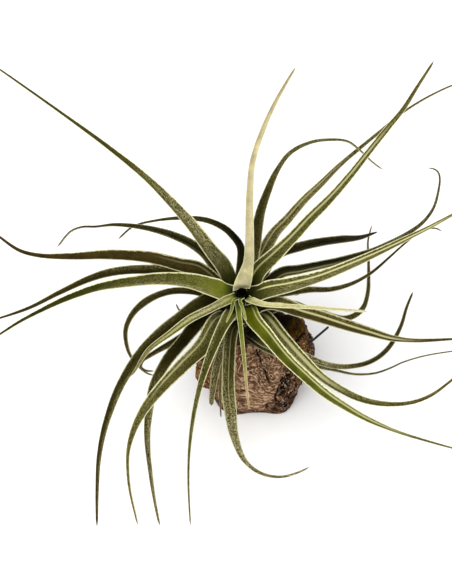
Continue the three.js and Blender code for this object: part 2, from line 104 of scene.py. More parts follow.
def leaf_plan(look, scales_and_light, root, width, *path, crease=(0, 0, 1, 1)):
    """A leaf's own measures under their names.

    The share of scales and light is the share that silvery scales cover on its left side, its middle and its
    right side, as seen from the tip, first near its base and then near its tip; these shares also paint
    light and shade, higher on the lit side of the channel and lower on the side in shade. Root is the
    direction round the stem in degrees and the height on it. Width is given at even steps from base to tip,
    and path by places in the picture.
    Crease is a pale line along the channel: place from -1 to 1 across, strength, width, and the share of
    the length where it ends.
    """
    return {"look": look, "scales_and_light": scales_and_light, "root": root, "width": width, "path": path, "crease": crease}


# Old short leaves at the back, which the crown hides, have the same shares of scales and painted light,
# and the same width.
OLD_SCALES_AND_LIGHT = ((0.1, 0.1, 0.15), (0.1, 0.1, 0.15))
OLD_WIDTH = (7, 4, 2.4, 1.4, 0.7)
LEAVES = {
    "centre_1": leaf_plan("cream", ((0.95, 0.7, 0.75), (0.55, 0.4, 0.45)), (100, 86.8),
        (12, 6.6, 5, 4.3, 3.6, 3.1, 2.6, 1.9, 1.1),
        (245, 276, 94), (248.5, 262, 104), (249.5, 240, 121), (249.5, 210, 138), (250, 190, 150),
        (252.4, 162, 166), (261.3, 133, 181), (275, 102, 195), (291, 74, 206), (296, 66, 210)),
    "centre_2": leaf_plan("young", ((0.1, 0.1, 0.1), (0.3, 0.3, 0.3)), (254, 87), (2.2, 2, 1.7, 1.3, 0.7),
        (234.6, 299, 92), (231, 311, 99), (226, 322, 103)),
    "centre_3": leaf_plan("young", ((0.1, 0.1, 0.1), (0.3, 0.3, 0.3)), (283, 87.4), (2.2, 2, 1.7, 1.3, 0.7),
        (240, 299, 92), (243.5, 310, 99), (246.5, 320, 103)),
    "left_1": leaf_plan("olive", ((0.3, 0.45, 0.4), (0.15, 0.05, 0.1)), (148, 78.4), (12, 7.5, 3.4, 1.6, 0.9),
        (224.5, 269.5, 93.5), (209.6, 249.6, 111), (186.6, 219.6, 127), (149.5, 180.5, 146), (110, 148, 160),
        (70, 118.5, 171), (30, 90, 180), (0, 69, 185), (-12, 61, 186)),
    "left_2": leaf_plan("brown", ((0, 0.05, 0.05), (0, 0, 0.05)), (156, 73.7), (11, 8, 5.9, 2.7, 1.1),
        (200, 270, 90), (180, 265, 95), (150, 257.5, 101), (110, 254.6, 104), (70, 256, 102), (40, 255, 99),
        (20, 250, 98), (0, 236.5, 98), (-10, 228, 98), crease=(0.5, 0.2, 0.6, 0.4)),
    "left_3": leaf_plan("dark", ((0, 0.05, 0.3), (0.1, 0, 0.1)), (160, 66.4), (11, 6.4, 5, 2.7, 1),
        (180, 272, 84), (150, 269.5, 88), (130, 269.8, 89), (110, 272.4, 88), (90, 278.4, 85), (60, 292, 78),
        (30, 307, 69), (0, 317.3, 60), (-10, 320, 57)),
    "left_4": leaf_plan("fresh", ((0.5, 0.2, 0.15), (0.1, 0, 0)), (174, 83.6), (14, 8.2, 5.2, 2.8, 1.1),
        (226, 292, 89.5), (210, 287, 93.4), (190, 281.5, 97), (160, 279.2, 101), (130, 281.9, 102),
        (100, 286.7, 100), (80, 293, 97), (60, 301, 92), (40, 310.5, 86), (20, 321, 79), (0, 333.5, 71),
        (-10, 340, 67)),
    "left_5": leaf_plan("dark", ((0.1, 0.05, 0.15), (0.2, 0.05, 0.1)), (154, 61), (7.5, 3.8, 4.6, 2.8, 0.7),
        (205, 294, 70), (190, 290.9, 72), (170, 291.2, 72), (150.4, 298.5, 69), (133.5, 312.8, 63),
        (126, 330, 56), (128.5, 350, 49), (134, 360, 46), (140, 367, 44), (147, 372.5, 42), (154, 375, 42)),
    "left_6": leaf_plan("dark", ((0.1, 0, 0), (0.3, 0.1, 0)), (196, 58.5), (8, 5.2, 4.6, 2.6, 0.7),
        (205, 322, 65), (190, 332, 66), (175, 341, 64), (160, 349, 60), (150, 355, 57), (143, 360, 54),
        (141, 366, 52), (145, 369.5, 51), (154, 370.5, 51)),
    "left_7": leaf_plan("dry", ((0.14, 0.16, 0.22), (0, 0, 0)), (165, 55.5), (6, 4, 2.6, 1.4, 0.7),
        (205, 306, 60), (190, 313, 61), (180, 310, 60), (176, 303, 59)),
    "front_1": leaf_plan("pale", ((0.15, 0.75, 0.6), (0.05, 0.35, 0.15)), (201, 85.8),
        (6.5, 4.3, 4.1, 2.7, 0.9),
        (229, 298.5, 91), (210, 308.5, 98), (190, 318.5, 101), (170, 333, 100), (150, 348, 96),
        (143.5, 355.9, 94), (136, 368.5, 90), (131, 375.5, 88), crease=(0.15, 0.5, 0.7, 0.8)),
    "front_2": leaf_plan("dark", ((0.05, 0, 0.15), (0.3, 0.1, 0.05)), (197, 68), (12, 7.6, 5.1, 2.8, 1.2),
        (214, 301, 79), (200, 305, 85), (180.6, 317.9, 90), (161, 333, 90), (141.2, 352.9, 86),
        (121.1, 383.5, 78), (106.3, 422, 67), (99.3, 455, 57), (97.2, 490, 46), (97, 517, 38), (97, 526, 35)),
    "front_3": leaf_plan("dark", ((0, 0, 0.05), (0.45, 0.35, 0.25)), (206, 62.8), (11, 7.6, 5, 2.6, 1.2),
        (205, 312, 76), (195, 325, 79), (185, 338, 80), (166, 361.5, 78), (153.5, 386, 73), (149.2, 410, 66),
        (147.3, 430, 60), (148, 450, 53), (150.3, 470, 46), (153, 490, 39), (158, 517, 31), (160, 525, 28)),
    "front_4": leaf_plan("olive", ((0.05, 0.1, 0.3), (0.25, 0.2, 0.25)), (239, 72.6),
        (11, 10.3, 6.5, 2.1, 0.9),
        (218.5, 322, 91.5), (203.8, 345.4, 94.2), (182.4, 366.2, 94), (161.4, 387.7, 90), (145.6, 407.5, 83),
        (134.6, 428.2, 75), (128.5, 450, 66), (128, 470, 58), (130, 490, 50), (136, 517, 40), (138, 525, 37),
        crease=(0.5, 0.6, 0.5, 0.6)),
    "front_5": leaf_plan("fresh", ((0.1, 0.05, 0.3), (0.3, 0.2, 0.3)), (244, 75.4), (9.5, 6, 2.8, 1.4, 0.8),
        (230, 315, 91), (222, 328, 97.5), (215, 343, 99.5), (204, 372, 98), (196.5, 400, 92), (192, 425, 84),
        (189, 455, 72), (188.5, 485, 60), (190, 517, 48), (190.5, 525, 45)),
    "front_6": leaf_plan("brown", ((0.5, 0.6, 0.6), (0.3, 0.35, 0.5)), (251, 59.5), (8, 5, 4.6, 4, 2.4),
        (226, 335, 72), (222, 350, 73), (217, 365, 72), (214, 380, 70), (212, 395, 67), (211.5, 405, 64)),
    "front_7": leaf_plan("dark", ((0.1, 0.05, 0.3), (0.5, 0.4, 0.45)), (266, 68), (9.5, 7, 6.8, 2.2, 0.8),
        (232, 330, 86), (229, 360, 88), (228.5, 390, 83), (230, 405, 79), (234.5, 435.2, 69), (245, 460, 60),
        (261.8, 472.8, 55), (281, 476, 53), (300, 471, 54), (310, 466, 55), crease=(0, 0.3, 0.4, 0.6)),
    "front_8": leaf_plan("tanned", ((0.05, 0.05, 0.1), (0.2, 0.25, 0.3)), (266, 83.4),
        (4, 2.8, 2.2, 1.6, 0.8),
        (238.5, 304, 91), (241, 330, 103), (244, 358, 102), (246.5, 385, 95), (249, 408, 86)),
    "front_9": leaf_plan("dry", ((0.4, 0.22, 0.05), (0.1, 0.08, 0.2)), (240, 53), (5, 3, 2.2, 1.4, 0.7),
        (225, 340, 58), (222, 365, 57), (220, 390, 50), (221, 417, 38)),
    "right_1": leaf_plan("bright", ((0.15, 0, 0.05), (0.3, 0.15, 0.25)), (300, 79.6), (10.5, 7, 5, 1.7, 0.9),
        (247.8, 307.5, 86.2), (254, 320, 90), (265, 333, 92), (285, 357, 93), (305, 376, 92), (325, 393, 89),
        (345, 406, 86), (365.2, 417.5, 82), (395.2, 430.3, 76), (430.2, 441.2, 69), (452, 447.2, 64),
        (462, 449.7, 62), crease=(-0.5, 0.7, 0.5, 0.85)),
    "right_2": leaf_plan("ribbed", ((0.15, 0.3, 0.4), (0.3, 0.2, 0.1)), (308, 64), (9, 6.6, 4.4, 2.3, 1.3),
        (262, 314.4, 77), (282, 336, 84), (302, 358, 86), (322, 377, 84), (342.5, 390, 80), (362.3, 399, 77),
        (385, 403.3, 73), (410, 402.1, 70), (430.6, 394.7, 68), (451.6, 379.4, 67), (459.6, 372.4, 67),
        crease=(-0.25, 0.8, 1.1, 0.6)),
    "right_3": leaf_plan("ivory", ((0.8, 0.65, 0.6), (0.75, 0.8, 0.9)), (322, 85.5),
        (5.4, 3.4, 2.6, 1.8, 0.9),
        (250, 299, 95), (262, 303.5, 105), (275, 305, 112), (305, 306.4, 125), (335, 308.5, 138),
        (367, 310.6, 149), crease=(-0.45, 0.5, 0.5, 0.5)),
    "right_4": leaf_plan("brown", ((0.2, 0.05, 0.1), (0.15, 0.1, 0.05)), (330, 69.3), (12, 8.6, 7, 2.5, 1.1),
        (275, 304, 90), (300, 311.5, 96), (320, 317.2, 99), (350, 326.4, 98), (370, 332, 95),
        (390, 337.5, 91), (415, 340, 85), (452, 338.5, 78), (462, 338, 76), crease=(-0.35, 0.8, 0.6, 0.85)),
    "right_5": leaf_plan("ribbed", ((0.25, 0.3, 0.35), (0.15, 0.25, 0.3)), (357, 83.6),
        (14, 8.2, 5.2, 2.9, 1.5),
        (258, 293, 89.5), (268, 290, 92.5), (290, 285.5, 98), (320, 277, 102), (350, 265, 103),
        (370, 256, 102), (390, 246.5, 100), (410, 236.5, 98), (430, 226.5, 95), (452, 214.5, 92),
        (462, 209, 90), crease=(-0.45, 1, 0.5, 1)),
    "right_6": leaf_plan("shaded", ((0, 0.05, 0.1), (0.3, 0.2, 0.2)), (24, 71.8), (9, 5.4, 3.5, 2.1, 0.8),
        (280, 273.5, 85), (300, 269.2, 89), (320, 265, 91), (340, 260.5, 91), (370, 251.5, 88),
        (390, 242.5, 85), (410, 231.5, 82), (424, 220.5, 80), (434, 206, 80), (438.8, 188, 84),
        (439.8, 178, 88), (438.5, 172, 91), (434.5, 168.5, 93), (427, 167, 94),
        crease=(0.25, 0.3, 0.9, 0.45)),
    "right_7": leaf_plan("dark", ((0.25, 0.1, 0.2), (0.2, 0.1, 0.15)), (14, 63.5), (7.5, 3.8, 1.9, 1.2, 0.8),
        (275, 294, 76), (290, 291.5, 80), (310, 289.3, 82), (330, 288.9, 81), (350, 283.7, 79),
        (370, 273, 76), (390, 256, 73), (404, 243.5, 71), (421, 231, 70), (435, 227.5, 69), (443, 231, 68)),
    "right_8": leaf_plan("dark", ((0.2, 0.1, 0.3), (0.1, 0.1, 0.2)), (0, 61), (7, 3.8, 3.1, 2, 0.6),
        (290, 304, 73), (305, 307.5, 75), (320, 311.5, 75), (333, 316, 74), (343, 318, 72), (352, 316, 70),
        (359, 311.5, 69), (363.5, 306, 68), (366.2, 298.3, 67), (368, 288, 66), (368.4, 277, 65),
        (368.3, 255, 64), (368, 240, 63), (372, 224, 62)),
    "right_9": leaf_plan("dark", ((0.5, 0.5, 0.4), (0.15, 0.05, 0.15)), (308, 57), (8, 4.6, 3, 2.6, 1.2),
        (268, 344, 66), (285, 350, 69), (303, 355, 69), (318.2, 361.6, 67), (330.1, 365.1, 65),
        (345, 366.4, 62), (360.2, 364.5, 60), (370.4, 361.1, 58), (380.4, 355.1, 57), (390.3, 344.8, 56),
        (401, 325, 55), (406.5, 307, 55), (413, 291, 55)),
    "right_10": leaf_plan("dark", ((0.4, 0.4, 0.4), (0.2, 0.2, 0.25)), (304, 52.5), (6, 3, 1.3, 0.8, 0.7),
        (262, 346, 60), (280, 355, 61), (300, 360, 60), (322, 367, 57), (333.2, 369.2, 55), (355, 373.5, 51),
        (375, 372.5, 48), (390, 367.5, 46), (403, 361.5, 44), (425, 355, 42), (452, 350.5, 40),
        (460, 349.5, 39)),
    "back_1": leaf_plan("ribbed", ((0.2, 0.15, 0.2), (0.15, 0.2, 0.25)), (40, 79), (12.5, 6.8, 4.4, 3, 1.3),
        (258, 272, 92.5), (276, 254, 105), (295, 235, 114), (310, 218.5, 120), (330, 198.5, 126),
        (350, 175.5, 132), (370, 150, 138), (390, 125, 144), (403, 109, 148), (417.5, 86, 152),
        (430, 66.5, 155), (434, 60, 156), crease=(-0.4, 0.7, 0.6, 0.8)),
    "back_2": leaf_plan("brown", ((0.3, 0.2, 0.35), (0.3, 0.2, 0.3)), (60, 73.5), (11, 5.5, 2.6, 1.6, 1),
        (272, 237, 92), (288, 218.5, 97), (304, 200, 101), (320, 184.5, 103), (340, 164.5, 104),
        (360, 147.5, 103), (380, 131, 101), (402, 112.5, 98), (426.7, 96.9, 95), (451.5, 85, 92),
        (460, 82.5, 91), crease=(-0.4, 0.5, 0.5, 0.55)),
    "back_3": leaf_plan("dark", ((0.1, 0.05, 0.15), (0.35, 0.25, 0.3)), (80, 76.5), (10, 6.6, 2.9, 1.7, 0.6),
        (255, 243, 96), (257, 230, 102), (261, 210, 109), (268, 190, 115), (277, 170, 119), (290, 152.5, 121),
        (310, 142, 121), (330, 139.1, 119), (348, 140.8, 116), (359.4, 149, 112), (373.4, 161.9, 106),
        (383.5, 169.3, 102)),
    "back_4": leaf_plan("shaded", ((0.15, 0.03, 0.02), (0.05, 0, 0.1)), (49, 65.8), (9, 6.6, 5.4, 4.6, 0.8),
        (275, 256, 85), (300.1, 246.4, 88), (320, 242, 87), (340, 239.2, 83), (360, 237, 77),
        (373, 232.8, 74), (378, 231, 73)),
    "back_5": leaf_plan("shaded", ((0.05, 0, 0), (0.15, 0.1, 0.15)), (99, 67.6), (9, 4.6, 3.3, 1.5, 1),
        (241, 250, 79), (239, 243, 82), (232, 234, 87), (224.7, 227.6, 88), (207.8, 219.9, 89),
        (185, 217.4, 87), (155, 220, 81), (133, 226, 74), (118, 238.5, 66)),
    "back_6": leaf_plan("shaded", ((0.2, 0, 0.1), (0.15, 0.05, 0.1)), (130, 70), (11, 6, 3.6, 1.5, 0.9),
        (208, 257, 87), (192, 244, 91), (173, 235, 93), (153, 229, 91), (133, 225.5, 88), (113, 224.2, 84),
        (95, 226, 79), (82, 226.3, 76), (70, 231, 72), (57, 246.5, 65)),
    "back_7": leaf_plan("dry", OLD_SCALES_AND_LIGHT, (28, 57), OLD_WIDTH,
        (275, 296, 65), (288, 293, 64), (299, 294, 59)),
    "back_8": leaf_plan("dry", OLD_SCALES_AND_LIGHT, (76, 57.8), OLD_WIDTH,
        (250, 268, 73), (254, 252, 73), (256, 240, 68)),
    "back_9": leaf_plan("dry", OLD_SCALES_AND_LIGHT, (110, 62.4), OLD_WIDTH,
        (232, 274, 68), (226, 265, 68), (220, 258, 63)),
    "back_10": leaf_plan("dry", OLD_SCALES_AND_LIGHT, (136, 57), OLD_WIDTH,
        (218, 295, 65), (205, 286, 65), (195, 277, 59)),
}

# Lobes of the wood: a centre, how far the lobe stands out (negative sinks a hollow) and its spread.
LOBES = (
    ((23, 12, 39), 5.5, 7),
    ((34, 5, 29), 2.6, 6),
    ((30, -8, 15), -6, 8),
    ((20, -22, 4), 3, 7),
    ((4, -26, 1), -3.5, 6),
    ((-32, -4, 26), 0.5, 10),
    ((-26, -18, 12), -3.5, 8),
    ((-6, -26, 14), 2, 14),
    ((10, 24, 24), 4, 12),
    ((-20, 20, 14), -3, 9),
)
# Waves of the wood's surface: turns round it, rows up it, start and how far they stand out.
WAVES = ((5, 2, 0.4, 0.7), (9, -5, 1.7, 0.5), (14, 7, 3.1, 0.4), (3, 9, 5.2, 0.5))


def srgb(code):
    """Linear colour of a hex code such as 8F9060."""
    channels = np.array([int(code[i : i + 2], 16) / 255 for i in (0, 2, 4)])
    linear = np.where(channels <= 0.04045, channels / 12.92, ((channels + 0.055) / 1.055) ** 2.4)
    return tuple(float(c) for c in linear)


# Shares of a leaf's length between which its looks change.
ALONG = {
    "base_to_blade": (0.05, 0.3), "blade_to_tip": (0.6, 0.97),
    "scales_begin": (0.04, 0.17), "scales_change": (0.35, 0.6),
    "crease_begins": (0.03, 0.1), "crease_inwards": (0.35, 0.9), "margin_begins": (0.05, 0.13),
}
# Shade between the bases: how far up a leaf it reaches for roots at three heights, the share of light that is
# left in it and the share at the margins.
SHADE = {"heights": (76, 84, 87), "reach": (0.12, 0.08, 0.02), "least": 0.12, "margin": 0.6}
# Looks of a leaf: colour of the skin by the stem, along the blade and at the tip, share of silvery scales
# on the outer face and strength of the pale margin. The dark and shaded looks are partly the low leaves'
# own dark olive and partly painted shade from the leaves above them; the darker colours by the stem are
# partly painted shade among the crowded bases.
LOOKS = {
    "cream": dict(base="D2C99E", blade="C8BC98", tip="9C9074", outer=0.6, margin=0.7),
    "ivory": dict(base="5E6E1C", blade="B4B474", tip="B0A888", outer=0.6, margin=0.9),
    "pale": dict(base="6E7628", blade="50521C", tip="6A5E3C", outer=0.5, margin=0.9),
    "young": dict(base="1E2606", blade="66721A", tip="A8AC4C", outer=0.4, margin=1.0),
    "tanned": dict(base="4C5A0C", blade="66701E", tip="AE8E6E", outer=0.4, margin=0.9),
    "bright": dict(base="5C6208", blade="464C0C", tip="4A4420", outer=0.4, margin=1.0),
    "fresh": dict(base="60661C", blade="2E3008", tip="36321A", outer=0.4, margin=0.9),
    "olive": dict(base="262C06", blade="36340E", tip="3E361A", outer=0.4, margin=0.8),
    "ribbed": dict(base="32340A", blade="34340C", tip="423818", outer=0.4, margin=0.9),
    "brown": dict(base="2A260A", blade="34290C", tip="362816", outer=0.35, margin=0.6),
    "dark": dict(base="282606", blade="221E05", tip="302416", outer=0.35, margin=0.45),
    "shaded": dict(base="262408", blade="131206", tip="26221A", outer=0.15, margin=0.4),
    "dry": dict(base="3A3010", blade="5A4C34", tip="5A4A3A", outer=0.35, margin=0.5),
}


def blend(low, high, share):
    """Straight blend from low at share 0 to high at share 1."""
    return low + (high - low) * share


def ease(value, begin, end):
    """Smooth step: 0 before begin, 1 after end, and 3t^2 - 2t^3 between them."""
    t = np.clip((value - begin) / (end - begin), 0, 1)
    return t * t * (3 - 2 * t)


def bump_of(value, middle, spread):
    """Bell curve exp(-((value - middle) / spread)^2)."""
    return np.exp(-(((value - middle) / spread) ** 2))


def unit(vectors):
    """Vectors divided by their lengths."""
    return vectors / np.linalg.norm(vectors, axis=-1, keepdims=True)


def cloud(points, cell, seed):
    """Smooth random field from -1 to 1: a seeded value at each corner of a cubic lattice of side cell,
    blended inside each cube by 3t^2 - 2t^3 along the three axes. The lattice repeats every 32 cells."""
    size = 32
    table = np.random.default_rng(seed).uniform(-1, 1, (size, size, size))
    place = np.asarray(points, float) / cell
    corner = np.floor(place).astype(int)
    t = place - corner
    t = t * t * (3 - 2 * t)
    total = 0
    for step in np.ndindex(2, 2, 2):
        weight = np.prod(np.where(step, t, 1 - t), axis=-1)
        index = (corner + step) % size
        total = total + weight * table[index[..., 0], index[..., 1], index[..., 2]]
    return total


def fractal(points, cell, seed, octaves):
    """Sum of clouds, each with half the cell and half the strength of the one before."""
    return sum(cloud(points, cell / 2**k, seed + k) / 2**k for k in range(octaves))


ELEVATION = math.radians(VIEW["elevation"])
RIGHT = np.array((1.0, 0.0, 0.0))
UP = np.array((0.0, math.sin(ELEVATION), math.cos(ELEVATION)))
BACK = np.array((0.0, -math.cos(ELEVATION), math.sin(ELEVATION)))
MIDDLE = (IMAGE[0] / 2, IMAGE[1] / 2 - VIEW["read_high"])


def sight_lines(pixels):
    """Vectors from the camera through pixels of the picture, as long as the camera's distance."""
    across = (pixels[..., 0:1] - MIDDLE[0]) * VIEW["mm_per_pixel"]
    above = (MIDDLE[1] - pixels[..., 1:2]) * VIEW["mm_per_pixel"]
    return across * RIGHT + above * UP - VIEW["distance"] * BACK


EYE = np.array((STEM["x"], STEM["y"], CROWN["height"])) - sight_lines(np.array(CROWN["pixel"], float))


def seen(spots):
    """Points where the sight lines through pixels reach given heights: eye + line * (height - eye) / line."""
    spots = np.array(spots, float)
    lines = sight_lines(spots)
    return EYE + lines * ((spots[..., 2:3] - EYE[2]) / lines[..., 2:3])


def picture_places(points):
    """Pixels across and down where points show, and their distances from the camera's plane."""
    from_eye = points - EYE
    depth = -from_eye @ BACK
    scale = VIEW["distance"] / VIEW["mm_per_pixel"] / depth
    return MIDDLE[0] + from_eye @ RIGHT * scale, MIDDLE[1] - from_eye @ UP * scale, depth


def smooth_line(points):
    """Centripetal Catmull-Rom curve through points, sampled at places even in length.

    Each span is a cubic whose end slopes come from its neighbours, with the square root of each chord
    as its time. The line is prolonged at both ends by its own first and last chord.
    """
    knots = np.vstack((2 * points[0] - points[1], points, 2 * points[-1] - points[-2]))
    time = np.sqrt(np.linalg.norm(np.diff(knots, axis=0), axis=1))[:, None]
    p0, p1, p2, p3 = knots[:-3], knots[1:-2], knots[2:-1], knots[3:]
    t0, t1, t2 = time[:-2], time[1:-1], time[2:]
    slope1 = ((p1 - p0) / t0 - (p2 - p0) / (t0 + t1) + (p2 - p1) / t1) * t1
    slope2 = ((p2 - p1) / t1 - (p3 - p1) / (t1 + t2) + (p3 - p2) / t2) * t1
    t = np.linspace(0, 1, LINE["span_steps"], endpoint=False)[None, :, None]
    start, end, a, b = (x[:, None, :] for x in (p1, p2, slope1, slope2))
    cubic = start + a * t + (3 * (end - start) - 2 * a - b) * t**2 + (2 * (start - end) + a + b) * t**3
    dense = np.vstack((cubic.reshape(-1, 3), points[-1:]))
    return at_length(dense, np.linspace(0, 1, LINE["steps"] + 1))


def sampled(rows, places, at):
    """Rows given at places, read at others by straight interpolation."""
    return np.stack([np.interp(at, places, column) for column in rows.T], axis=1)


def at_length(line, shares):
    """Points of a fine line at shares of its length."""
    length = np.concatenate(([0], np.cumsum(np.linalg.norm(np.diff(line, axis=0), axis=1))))
    return sampled(line, length, shares * length[-1])


def carried_normals(line, first):
    """Normals along a line that never turn about it: each is the one before without its part along the
    line's direction there. Returns directions and normals."""
    tangents = unit(np.gradient(line, axis=0))
    normals = np.empty_like(line)
    normal = np.array(first, float)
    for i, tangent in enumerate(tangents):
        normal = normal - tangent * normal.dot(tangent)
        normal = normal / np.linalg.norm(normal)
        normals[i] = normal
    return tangents, normals


def tube_faces(rows, columns, first_pole, last_pole):
    """Faces of rows of points that are each a closed ring: quads between the rows, and triangles from
    the first and the last row to a pole each."""
    first = np.arange(columns)
    last = first + (rows - 1) * columns
    corner = (np.arange(rows - 1) * columns)[:, None] + first
    following = np.roll(corner, -1, axis=1)
    quads = np.stack((corner, following, following + columns, corner + columns), axis=-1).reshape(-1, 4)
    first_fan = np.stack((np.roll(first, -1), first, np.full(columns, first_pole)), axis=-1)
    last_fan = np.stack((last, np.roll(last, -1), np.full(columns, last_pole)), axis=-1)
    return [quads, first_fan, last_fan]


# Kind of an attribute and the name of its values' field, by how many numbers each point has.
ATTRIBUTE_KINDS = {1: ("FLOAT", "value"), 3: ("FLOAT_VECTOR", "vector"), 4: ("FLOAT_COLOR", "color")}


def make_mesh(name, points, faces, attributes):
    """Mesh from points in millimetres, a list of face arrays and point attributes, shaded smooth."""
    mesh = bpy.data.meshes.new(name)
    mesh.vertices.add(len(points))
    mesh.vertices.foreach_set("co", (np.asarray(points) * MM).astype(np.float32).ravel())
    corners = np.concatenate([f.ravel() for f in faces]).astype(np.int32)
    counts = np.concatenate([np.full(len(f), f.shape[1]) for f in faces])
    mesh.loops.add(len(corners))
    mesh.loops.foreach_set("vertex_index", corners)
    mesh.polygons.add(len(counts))
    mesh.polygons.foreach_set("loop_start", np.concatenate(([0], np.cumsum(counts)[:-1])).astype(np.int32))
    for label, values in attributes.items():
        values = np.asarray(values, np.float32)
        kind, field = ATTRIBUTE_KINDS[values.size // len(values)]
        mesh.attributes.new(label, kind, "POINT").data.foreach_set(field, values.ravel())
    mesh.update(calc_edges=True)
    mesh.validate()
    mesh.shade_smooth()
    return mesh


def add_piece(name, mesh, material, node):
    """Object for a mesh: it rides on the frame's body, takes its slot and stands for its CAD node."""
    piece = bpy.data.objects.new(name, mesh)
    bpy.context.scene.collection.objects.link(piece)
    mesh.materials.append(material)
    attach(piece, BODY)
    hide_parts(node)
    return piece


# Leaves


def stem_radius(height):
    """Radius of the stem at a height, straight between the points of its side."""
    heights, radii = zip(*STEM_SIDE)
    return float(np.interp(height, heights, radii))


def leaf_line(leaf):
    """Middle line of a leaf, from its root on the stem through the places of its path."""
    direction, height = leaf["root"]
    out = stem_radius(height) + LEAF["seat"]
    turn = math.radians(direction)
    root = np.array((STEM["x"] + out * math.cos(turn), STEM["y"] + out * math.sin(turn), height))
    return smooth_line(np.vstack((root, seen(leaf["path"]))))


def root_shade(leaf, s, u):
    """Share of light that reaches the leaf's base between its neighbours: low in the middle of the root,
    more at the margins, and deeper up the leaf for leaves that grow lower on the stem."""
    lit = np.interp(leaf["root"][1], SHADE["heights"], SHADE["reach"])
    return blend(SHADE["least"], 1, np.maximum(ease(s, 0, lit), SHADE["margin"] * u**2))


def leaf_skin(leaf, look, s, u):
    """Colour of the skin under the scales: it goes from base to blade to tip along the leaf."""
    tones = {key: np.array(srgb(look[key])) for key in ("base", "blade", "tip")}
    colour = blend(tones["base"], tones["blade"], ease(s, *ALONG["base_to_blade"])[..., None])
    colour = blend(colour, tones["tip"], ease(s, *ALONG["blade_to_tip"])[..., None])
    colour = colour * root_shade(leaf, s, u)[..., None]
    return np.concatenate((colour, np.ones_like(colour[..., :1])), axis=-1)


def leaf_scales_and_light(leaf, look, s, u, upper):
    """Share of silvery scales, which also paints light and shade: straight blends across the channel between
    the left side, the middle and the right side, first near the base and then near the tip, and less by the
    stem, partly as painted shade, times the painted shade between the bases; the outer face has one share."""
    lower, higher = (np.interp(u, (-0.6, 0, 0.6), shares) for shares in leaf["scales_and_light"])
    lower = lower * blend(0.1, 1, ease(s, *ALONG["scales_begin"]))
    channel = blend(lower, higher, ease(s, *ALONG["scales_change"]))
    channel = channel * root_shade(leaf, s, u)
    return blend(look["outer"], channel, upper)


def leaf_crease(leaf, s, u, upper, half):
    """The pale line along the channel: how far each point lies from it, as a share of the line's own
    width, and the line's strength. It starts by the base and comes nearer the middle towards the tip."""
    place, strength, width, end = leaf["crease"]
    place = place * (1 - 0.7 * ease(s, *ALONG["crease_inwards"]))
    strength = strength * upper * ease(s, *ALONG["crease_begins"]) * (1 - ease(s, end - 0.2, end))
    return half[:, None] * (u - place) / width, strength


def wrapped(points, offset, centre, clasp):
    """Points bent round the stem where a leaf clasps it: the offset across the leaf becomes an arc round
    the stem's axis through the leaf's middle, and clasp (0 to 1) blends from flat to bent."""
    axis = np.array((STEM["x"], STEM["y"], 0.0))
    from_axis = centre[:, None, :] - axis
    reach = np.linalg.norm(from_axis[..., :2], axis=-1)
    wide = reach + CLASP["stand_off"] * (offset / CLASP["reach"]) ** 2
    turn = -offset / (reach + CLASP["stand_off"])
    share = wide / reach
    x = (from_axis[..., 0] * np.cos(turn) - from_axis[..., 1] * np.sin(turn)) * share
    y = (from_axis[..., 0] * np.sin(turn) + from_axis[..., 1] * np.cos(turn)) * share
    bent = axis + np.stack((x, y, np.broadcast_to(from_axis[..., 2], x.shape)), axis=-1)
    return blend(points, bent, clasp[:, None, None])


